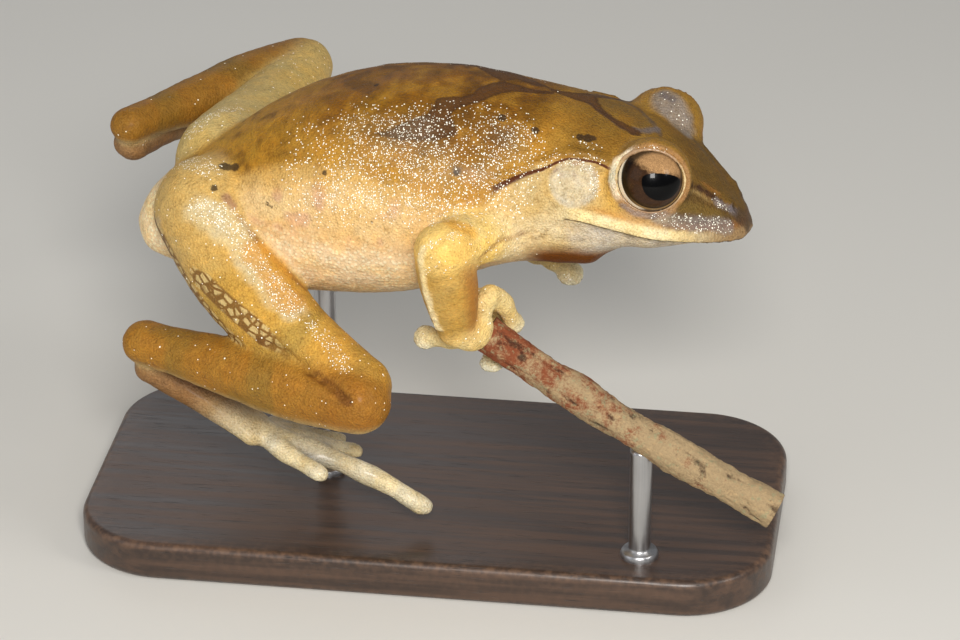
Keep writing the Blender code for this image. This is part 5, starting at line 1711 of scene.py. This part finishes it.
    def lids(self, points: Array, colour: Array) -> Array:
        """Golden brown lids with a cream edge at the eye, and painted shade in the gap round the eyeball."""
        body = self.skin.body
        for side in (-1, 1):
            out = points - body.eye_centre(side)
            reach = np.linalg.norm(out, axis=1)
            axis, forward, up = body.lid_frame(side)
            narrow = np.hypot(out @ forward, body.lid_flatness * (out @ up))
            beyond = body.lid_half_angle - np.arctan2(narrow, np.maximum(out @ axis, 0.01))
            lid = rise(4.9, 4.2, reach) * rise(-1.6, 0.2, out[:, 2])
            close = rise(4.3, 3.9, reach) * rise(-0.10, -0.02, beyond)
            behind = rise(-1.2, -2.6, out @ forward) * rise(-2.4, -1.4, out @ up)
            # The last layer, dark inside the eyeball's radius, is painted shade in the gap round the eyeball.
            colour = layered(colour, ((156, 118, 46), lid * 0.9), ((166, 126, 84), close * 0.8),
                             ((240, 228, 204), close * behind), ((60, 44, 28), rise(3.3, 3.1, reach)))
        return colour

    def arm(self, points: Array, side: int) -> Array:
        """Golden upper arm, paler at the shoulder."""
        share, _ = self.located(Part.ARM, side, points)
        colour = clouded(points, (244, 206, 110), (244, 216, 146), 2.4, 41)
        return layered(colour, ((238, 214, 164), rise(0.6, 0.2, share)))

    def forearm(self, points: Array, side: int) -> Array:
        """Olive-gold forearm, browner to the front, with its pale beaded edge."""
        share, out = self.located(Part.FOREARM, side, points)
        front = out @ unit((0.95, -0.2 * side, 0.0))
        gap, _ = line_distance(points, self.skin.ridge_line("right" if side < 0 else "left"))
        colour = clouded(points, (208, 176, 104), (192, 154, 74), 1.8, 44)
        return layered(colour, ((168, 110, 42), rise(0.3, 0.9, front) * 0.8),
                       ((232, 190, 100), rise(0.16, 0.02, share)), ((250, 234, 184), rise(0.55, 0.35, gap)))

    def thigh(self, points: Array, side: int) -> Array:
        """Thigh: pale near the vent, golden, then brown at the knee, olive in faint bars; the far thigh is
        painted paler as painted light.
        """
        share, _ = self.located(Part.THIGH, side, points)
        bars = np.sin(share * 21 + 1.5 * lattice_noise(points, 3.0, 51))
        colour = blended(tone(206, 172, 104), tone(202, 160, 74), rise(0.1, 0.4, share))
        # Painted light: the far (left) thigh is mixed towards a paler tone.
        return layered(colour, ((202, 154, 68), rise(0.7, 0.95, share)),
                       ((160, 132, 62), rise(0.3, 0.9, bars) * rise(0.2, 0.5, share) * 0.5),
                       ((210, 188, 124), np.full(len(points), 0.65 if side > 0 else 0.0)))

    def shank(self, points: Array, side: int) -> Array:
        """Shank: orange-brown with olive bars and a pale lower side; the far shank is darker as painted
        shade.
        """
        share, out = self.located(Part.SHANK, side, points)
        bars = rise(0.0, 0.8, np.sin(share * 15 + 2.0 + 1.5 * lattice_noise(points, 3.0, 52)))
        colour = blended(tone(166, 118, 42), tone(144, 112, 46), bars * 0.7)
        # Painted shade: the far (left) shank is darkened to 0.8.
        colour = layered(colour, ((156, 106, 36), rise(0.25, 0.0, share))) * (0.8 if side > 0 else 1.0)
        return layered(colour, ((214, 186, 130), rise(0.35, 0.95, -out[:, 2])))

    def foot(self, points: Array, side: int) -> Array:
        """Tarsus, brown at the heel, paler to the toes, mauve-brown on top."""
        share, out = self.located(Part.FOOT, side, points)
        colour = blended(tone(142, 106, 68), tone(204, 188, 152), rise(0.35, 0.95, share))
        return layered(colour, ((134, 112, 102), rise(0.3, 0.9, out[:, 2]) * 0.7))

    def located(self, part: Part, side: int, points: Array) -> tuple[Array, Array]:
        """Share of a limb part's length at each point, and the way out from its middle line."""
        forms = (piece.form for piece in self.flesh if piece.part is part and piece.side == side)
        return next(form for form in forms if isinstance(form, Limb)).locate(points)

    def marks(self, points: Array) -> Array:
        """Distance into the dark bands of the back and the mark between the eyes, seen from above."""
        outlines = (self.between_eyes, self.near_band, self.far_band)
        return np.clip(np.maximum.reduce([outline_distance(points[:, :2], o) for o in outlines]), -3, 3)

    def spot_distance(self, points: Array) -> Array:
        """Distance into the nearest small dark spot."""
        best = np.full(len(points), -3.0)
        for *centre, radius in self.spots:
            best = np.maximum(best, radius - np.linalg.norm(points - centre, axis=1))
        return best

    def belly(self, points: Array, trunk: Array, weights: Mapping) -> Array:
        """Where the skin has the belly's coarse granules."""
        x, z = points[:, 0], points[:, 2]
        low = rise(-4.4, -7.2, z + 0.02 * (x + 25)) * trunk * rise(-8.0, -12.0, x)
        arm = weights[(Part.FOREARM, -1)] + weights[(Part.FOREARM, 1)]
        return np.clip(low + 0.45 * arm, 0, 1)

    def glitter(self, points: Array, trunk: Array, weights: Mapping) -> Array:
        """Chance of painted glints, white flecks of painted highlight."""
        x = points[:, 0]
        turn = self.skin.trunk.turn(points)
        patchy = 0.75 + 0.6 * lattice_noise(points, 2.2, 14)
        side = rise(-37, -31, x) * rise(-10.5, -13, x) * rise(2, 14, turn) * rise(74, 54, turn)
        dense = bell(x, -23.0, 7.0) * bell(turn, 36, 20)
        chance = trunk * side * (0.3 + 0.95 * dense) * patchy
        chance = chance + trunk * 0.5 * bell(x, -14.5, 4) * bell(turn, 40, 16) * patchy
        for stroke in self.painted_glint_strokes:
            chance = np.maximum(chance, stroke.share(points))
        # Painted highlights on the upper rim of each drum.
        for s in (-1, 1):
            out = points - self.skin.trunk.place(*self.skin.drum_place, s)
            reach = np.linalg.norm(out, axis=1)
            rim = rise(2.6, 2.3, reach) * rise(1.5, 1.9, reach)
            chance = np.maximum(chance, 0.9 * rim * rise(0.2, 1.0, out[:, 2] + 0.7 * out[:, 0]))
            chance = chance + 0.006 * weights[(Part.SHANK, s)] + 0.03 * weights[(Part.HAND, s)]
            chance = chance + 0.012 * weights[(Part.THIGH, s)] + 0.05 * weights[(Part.ARM, s)]
        return np.clip(chance, 0, 1)

    def leg_map(self, points: Array) -> tuple[Array, Array]:
        """Map on the thighs, in cells of the net: along the leg, and round it from its rear side."""
        rear = np.array((-0.73, -0.39, -0.56))
        right = to_right(points)
        share, out = self.located(Part.THIGH, -1, right)
        limb = np.asarray(self.skin.body.knee["right"]) - np.asarray(self.skin.body.hip["right"])
        length = np.linalg.norm(limb)
        other = np.cross(limb / length, rear)
        turn = np.arctan2(out @ other, out @ rear)
        return share * length, turn * (4.6 - 2.0 * share) * 1.55

    def net(self, points: Array, weights: Mapping) -> Array:
        """Where the thighs have their dark net: a strip along them and the rear side."""
        right = to_right(points)
        gap, share = line_distance(right, self.net_line)
        strip = rise(1.5, 0.6, gap) * rise(0.0, 0.22, share) * (1 - 0.65 * rise(0.5, 0.75, share))
        _, out = self.located(Part.THIGH, -1, right)
        rear = rise(0.55, 0.85, out @ unit((-0.73, -0.1, -0.66)))
        return (weights[(Part.THIGH, -1)] + weights[(Part.THIGH, 1)]) * np.maximum(strip, rear)

    def crease_distance(self, points: Array) -> Array:
        """Distance to the nearest wrinkle."""
        return (1 - self.skin.wrinkles(points)) * 0.3

    def fold(self, points: Array) -> tuple[Array, Array]:
        """Height over the fold behind the eye, in units of its local width, and where it counts."""
        right = to_right(points)
        gap, share = line_distance(right, self.skin.fold_line)
        width = 0.24 + 0.40 * rise(0.3, 0.95, share)
        inside = rise(1.4, 1.0, gap) * rise(0.0, 0.04, share) * rise(1.0, 0.94, share)
        return np.clip(height_over(right, self.skin.fold_line) / width, -3, 3), inside

    def mouth(self, points: Array, trunk: Array) -> Array:
        """Distance to the line of the mouth, large away from the head."""
        x = points[:, 0]
        beyond = np.maximum(-7.9 - x, 0)
        gap = np.hypot(points[:, 2] - self.skin.trunk.level(x), beyond)
        return np.where(trunk > 0.5, np.minimum(gap, 3), 3.0)


@dataclass
class Eyes:
    """Both eyeballs and the thin pale edges of their lids."""

    body: Anatomy = field(default_factory=Anatomy)
    finish: EyeFinish = field(default_factory=EyeFinish)
    rim_finish: RimFinish = field(default_factory=RimFinish)
    cornea: float = 0.14
    rim_radius: float = 0.13

    def frame(self, side: int) -> tuple[Array, Array, Array, Array]:
        """Centre, axis, way to the snout and way up of the eye on that side."""
        axis = self.body.axis_of_eye(side)
        up = unit(np.array((0, 0, 1.0)) - axis * axis[2])
        forward = np.cross(up, axis) * (1 if side < 0 else -1)
        return self.body.eye_centre(side), axis, forward, up

    def ball(self, side: int) -> Surface:
        """Eyeball: a sphere whose radius grows a little towards the axis, as exp(-(angle / 0.85)^4)."""
        centre, axis, forward, up = self.frame(side)
        angle = np.linspace(0.02, math.pi - 0.02, 60)
        turn = np.linspace(0, 2 * math.pi, 96, endpoint=False)
        radius = self.body.eye_radius - 0.05 + self.cornea * np.exp(-(angle / 0.85) ** 4)
        ring = np.cos(turn)[None, :, None] * forward + np.sin(turn)[None, :, None] * up
        out = np.cos(angle)[:, None, None] * axis + np.sin(angle)[:, None, None] * ring
        surface = sheet_of(centre + radius[:, None, None] * out)
        local = surface.points - centre
        surface.values["eye_forward"] = np.where(local @ axis > 0, local @ forward, 9.0)
        surface.values["eye_up"] = local @ up
        return self.outward(surface, centre)

    def rim(self, side: int) -> Surface:
        """Edge of the lids: a beaded roll about the opening, thickest above and behind.

        At the turn t it lies atan(tan(a) / sqrt(cos^2 t + f^2 sin^2 t)) from the lids' axis, where a is
        the half angle of the opening and f its flatness.
        """
        centre = self.body.eye_centre(side)
        axis, forward, up = self.body.lid_frame(side)
        turn = np.linspace(0, 2 * math.pi, 240, endpoint=False)
        section = np.linspace(0, 2 * math.pi, 12, endpoint=False)
        ring = np.cos(turn)[:, None] * forward + np.sin(turn)[:, None] * up
        narrow = np.hypot(np.cos(turn), self.body.lid_flatness * np.sin(turn))
        angle = np.arctan(math.tan(self.body.lid_half_angle) / narrow)
        behind = bell(np.degrees(turn), 140, 38)
        reach = self.body.eye_radius + self.rim_radius * (0.45 + 0.5 * behind)
        way = np.cos(angle)[:, None] * axis + np.sin(angle)[:, None] * ring
        middle = centre + reach[:, None] * way
        size = self.rim_radius * (0.8 + 0.25 * np.sin(turn) + 0.75 * behind)
        size = size * (1 + 0.3 * lattice_noise(middle, 0.33, 61))
        along = np.sin(angle)[:, None] * axis - np.cos(angle)[:, None] * ring
        roll = np.cos(section)[None, :, None] * way[:, None] + np.sin(section)[None, :, None] * along[:, None]
        grid = middle[:, None] + size[:, None, None] * roll
        grid = np.concatenate((grid, grid[:1]))
        surface = sheet_of(grid, poles=False)
        surface.values["top"] = np.repeat(rise(0.1, 0.8, np.abs(np.sin(turn))), len(section))
        keep = len(turn) * len(section)
        surface.points = surface.points[:keep]
        surface.faces = [group % keep for group in surface.faces]
        return self.outward(surface, np.repeat(middle, len(section), axis=0))

    def build(self, place: Place) -> list[bpy.types.Object]:
        """Makes and dresses both eyes."""
        eye, edge = self.finish.material(), self.rim_finish.material()
        pieces = []
        for which, side in SIDES.items():
            ball = self.ball(side).made("eyeball_" + which, place, eye)
            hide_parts("eye_" + which)
            rim = self.rim(side).made("lid_edge_" + which, place, edge)
            pieces += [ball, rim]
        LOG.info("eyes: %s", ", ".join(piece.name for piece in pieces))
        return pieces

    @staticmethod
    def outward(surface: Surface, centre: Array) -> Surface:
        """Turns the faces over if they look to the centre: one point, or one for each of the surface's."""
        if np.mean(np.sum(surface.normals() * (surface.points - centre), axis=1)) < 0:
            surface.faces = [group[:, ::-1] for group in surface.faces]
        return surface


@dataclass
class Twig:
    """Cut length of twig with flaking bark, knots and a broken end under the hand."""

    start: tuple = (-15.6, -9.29, -16.36)
    direction: tuple = (0.874, -0.10, -0.474)
    length: float = 33.15
    radius: float = 1.8
    ripple: float = 0.12
    knots: float = 3.0
    sag: float = 0.6
    finish: BarkFinish = field(default_factory=BarkFinish)

    def build(self, place: Place) -> bpy.types.Object:
        """Makes and dresses the twig.

        The radius round and along it is the swelling at the knots, plus long noise that is
        stretched along the twig for the ridges of the bark, plus short noise for its flakes.
        """
        share = np.linspace(0, 1, 260)
        way = unit(self.direction)
        path = np.asarray(self.start) + np.outer(share * self.length, way)
        path = path + np.outer(np.sin(math.pi * share) * self.sag, (0, 0, -1))
        turn = np.linspace(0, 2 * math.pi, 84, endpoint=False)
        base = self.radius + self.ripple * np.cos(2 * math.pi * self.knots * share)
        sides = np.cos(turn) * self.radius, np.sin(turn) * self.radius
        ring, flake = (
            np.stack(np.broadcast_arrays(share[:, None] * self.length * part, *sides), axis=-1).reshape(-1, 3)
            for part in (0.22, 1.0))
        ridge = lattice_noise(ring, 0.75, 71) + 0.5 * lattice_noise(ring, 0.35, 72)
        ridge = (ridge + 0.6 * lattice_noise(flake, 0.8, 73)).reshape(len(share), -1)
        small = lattice_noise(flake, 0.32, 74).reshape(len(share), -1)
        size = base[:, None] * 0.985 + 0.13 * ridge + 0.05 * small
        surface = swept(path, size, len(turn))
        count = len(share) * len(turn)
        surface.values["along"] = np.append(np.repeat(share, len(turn)), (0.0, 1.0))
        surface.values["ridge"] = np.append(ridge.ravel(), (0.0, 0.0))
        broken = np.zeros(count + 2)
        broken[-2:] = 1
        surface.values["broken"] = broken
        piece = surface.made("twig", place, self.finish.material())
        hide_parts("perch_twig")
        LOG.info("twig: %d points", len(surface.points))
        return piece


@dataclass
class Stand:
    """Base board with rounded corners and two steel rods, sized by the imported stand."""

    corner: float = 9.0
    edge: float = 0.8
    board: BoardFinish = field(default_factory=BoardFinish)
    rod: RodFinish = field(default_factory=RodFinish)

    def build(self, place: Place) -> list[bpy.types.Object]:
        """Makes and dresses the board and the rods."""
        pieces = [self.base(place)]
        finish = self.rod.material()
        for name in ("stand_rod_body", "stand_rod_perch"):
            pieces.append(self.rod_piece(name, place, finish))
        LOG.info("stand: %s", ", ".join(piece.name for piece in pieces))
        return pieces

    def base(self, place: Place) -> bpy.types.Object:
        """Board: its outline, a rectangle with round corners, is carried up a quarter-round edge."""
        low, high = (place.millimetres(corner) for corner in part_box("stand_base"))
        middle = (low + high) / 2
        half = (high - low)[:2] / 2
        turn = np.linspace(0, 2 * math.pi, 144, endpoint=False)
        way = np.column_stack((np.cos(turn), np.sin(turn)))
        core = np.sign(np.round(way, 9)) * (half - self.corner)
        profile = []
        for angle in np.linspace(0, math.pi / 2, 7):
            profile.append((self.edge * (1 - math.sin(angle)), low[2] + self.edge * (1 - math.cos(angle))))
        for angle in np.linspace(0, math.pi / 2, 7):
            profile.append((self.edge * (1 - math.cos(angle)), high[2] - self.edge * (1 - math.sin(angle))))
        profile += [(inset, high[2]) for inset in (3.0, 8.9)]
        profile.insert(0, (8.9, low[2]))
        rings = []
        for inset, height in profile:
            ring = middle[:2] + core + way * (self.corner - inset)
            rings.append(np.column_stack((ring, np.full(len(ring), height))))
        surface = Eyes.outward(sheet_of(np.array(rings)), middle)
        inset = np.repeat([row[0] for row in profile], len(turn))
        height = np.repeat([row[1] for row in profile], len(turn))
        edge = rise(1.2, 0.1, inset) * rise(1.2, 0.0, np.minimum(high[2] - height, height - low[2] + 0.2))
        surface.values["edge"] = np.append(edge, (0, 0))
        piece = surface.made("board", place, self.board.material())
        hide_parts("stand_base")
        return piece

    def rod_piece(self, name: str, place: Place, finish: bpy.types.Material) -> bpy.types.Object:
        """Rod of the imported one's radius and height, its radius opening to a small foot at the board."""
        low, high = (place.millimetres(corner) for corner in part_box(name))
        radius = (high - low)[:2].min() / 2
        middle = (low + high) / 2
        board_top = place.millimetres(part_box("stand_base")[1])[2]
        height = np.concatenate(([board_top - 0.2], board_top + np.array((0.0, 0.25, 0.5, 0.7, 0.8, 1.1)),
                                 np.linspace(board_top + 1.4, high[2], 30)))
        foot = 1.75 - 0.2 * rise(0.3, 0.7, height - board_top)
        size = radius * np.where(height < board_top + 0.75, foot, 1.0)
        path = np.column_stack((np.full(len(height), middle[0]), np.full(len(height), middle[1]), height))
        surface = swept(path, size, 40, (1, 0, 0))
        piece = Eyes.outward(surface, middle).made(name + "_steel", place, finish)
        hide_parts(name)
        return piece


# The studio


@dataclass
class Studio:
    """Pale floor, soft lights and the camera.

    Each lamp has its way as shares of back to the camera, up and right, then its distance, size,
    power and colour.
    """

    azimuth: float = math.radians(8.0)
    elevation: float = math.radians(27.0)
    distance: float = 400.0
    scale: float = 10.3
    aim_right: float = -17.3
    aim_up: float = -16.46
    sensor: float = 36.0
    floor_half: float = 2500.0
    picture_width: int = 960
    sky: tuple = (0.93, 0.94, 0.96, 1)
    sky_strength: float = 0.24
    lamps: tuple = (
        ("key", (0.97, 0.12, 0.04), 420, 110, 1.62, (1.0, 0.97, 0.93)),
        ("side", (0.60, 0.30, 0.75), 420, 110, 0.35, (1.0, 0.98, 0.95)),
        ("rim", (-0.6, 0.9, -0.3), 460, 260, 0.18, (0.95, 0.97, 1.0)),
        ("fill", (0.5, 0.25, -0.9), 480, 320, 0.25, (0.97, 0.98, 1.0)),
    )

    def axes(self) -> tuple[Array, Array, Array]:
        """Ways to the camera, to the picture's right and to its top."""
        flat = math.cos(self.elevation)
        sine, cosine = math.sin(self.azimuth), math.cos(self.azimuth)
        back = np.array((sine * flat, -cosine * flat, math.sin(self.elevation)))
        right = np.array((cosine, sine, 0.0))
        return back, right, np.cross(back, right)

    def build(self, place: Place) -> None:
        """Makes the floor, the lights and the camera."""
        back, right, up = self.axes()
        target = right * self.aim_right + up * self.aim_up
        self.camera(place, target, back)
        for name, shares, *kind in self.lamps:
            self.lamp(place, name, target, np.dot(shares, (back, up, right)), *kind)
        world = bpy.data.worlds.new("studio")
        world.use_nodes = True
        world.node_tree.nodes["Background"].inputs["Color"].default_value = self.sky
        world.node_tree.nodes["Background"].inputs["Strength"].default_value = self.sky_strength
        bpy.context.scene.world = world
        bpy.context.scene.view_settings.view_transform = "Standard"
        self.floor(place)
        LOG.info("studio: floor, lights and camera")

    def camera(self, place: Place, target: Array, back: Array) -> None:
        """Camera at its distance from TARGET, its lens from the scale in pixels a millimetre."""
        data = bpy.data.cameras.new("camera")
        data.sensor_width = self.sensor
        data.lens = self.scale * self.distance * self.sensor / self.picture_width
        data.clip_start = 0.01
        camera = bpy.data.objects.new("camera", data)
        self.aim(camera, place.metres(target + back * self.distance), place.metres(target))
        bpy.context.scene.collection.objects.link(camera)
        bpy.context.scene.camera = camera

    @staticmethod
    def aim(body: bpy.types.Object, start: Array, end: Array) -> None:
        """Puts BODY at START, looking at END."""
        way = Vector(end - start)
        body.location = Vector(start)
        body.rotation_euler = way.to_track_quat("-Z", "Y").to_euler()

    def lamp(self, place: Place, name: str, target: Array, way: Array, distance: float, size: float,
             power: float, colour: tuple) -> None:
        """Square soft light of SIZE, DISTANCE from TARGET in the direction WAY."""
        data = bpy.data.lights.new(name, "AREA")
        data.size = size * MM
        data.energy = power
        data.color = colour
        lamp = bpy.data.objects.new(name, data)
        self.aim(lamp, place.metres(target + unit(way) * distance), place.metres(target))
        bpy.context.scene.collection.objects.link(lamp)

    def floor(self, place: Place) -> None:
        """Flat square under the board, level with its underside."""
        low = place.millimetres(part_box("stand_base")[0])[2]
        steps = np.linspace(-self.floor_half, self.floor_half, 9)
        grid = np.stack(np.meshgrid(steps, steps, indexing="ij") + [np.full((9, 9), low)], axis=-1)
        surface = sheet_of(grid, closed=False, poles=False)
        if surface.normals()[0, 2] < 0:
            surface.faces = [group[:, ::-1] for group in surface.faces]
        surface.made("floor", place, FloorFinish().material())


FLESH_NODES = ["torso", "head"] + [f"{part}_{which}" for which in SIDES for part in
                                   ("upper_arm", "forearm", "hand", "thigh", "shank", "foot")]


def main() -> None:
    """Builds every piece in order."""
    logging.basicConfig(level=logging.INFO, format="%(name)s: %(message)s")
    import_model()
    place = Place.of_frame()
    Studio().build(place)
    skin = Skin().build(place)
    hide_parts(*FLESH_NODES)
    pieces = [skin, *Eyes().build(place), Twig().build(place), *Stand().build(place)]
    for piece in pieces:
        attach(piece, "root")
        LOG.info("%s: %d faces", piece.name, len(piece.data.polygons))


if __name__ == "__main__":
    main()
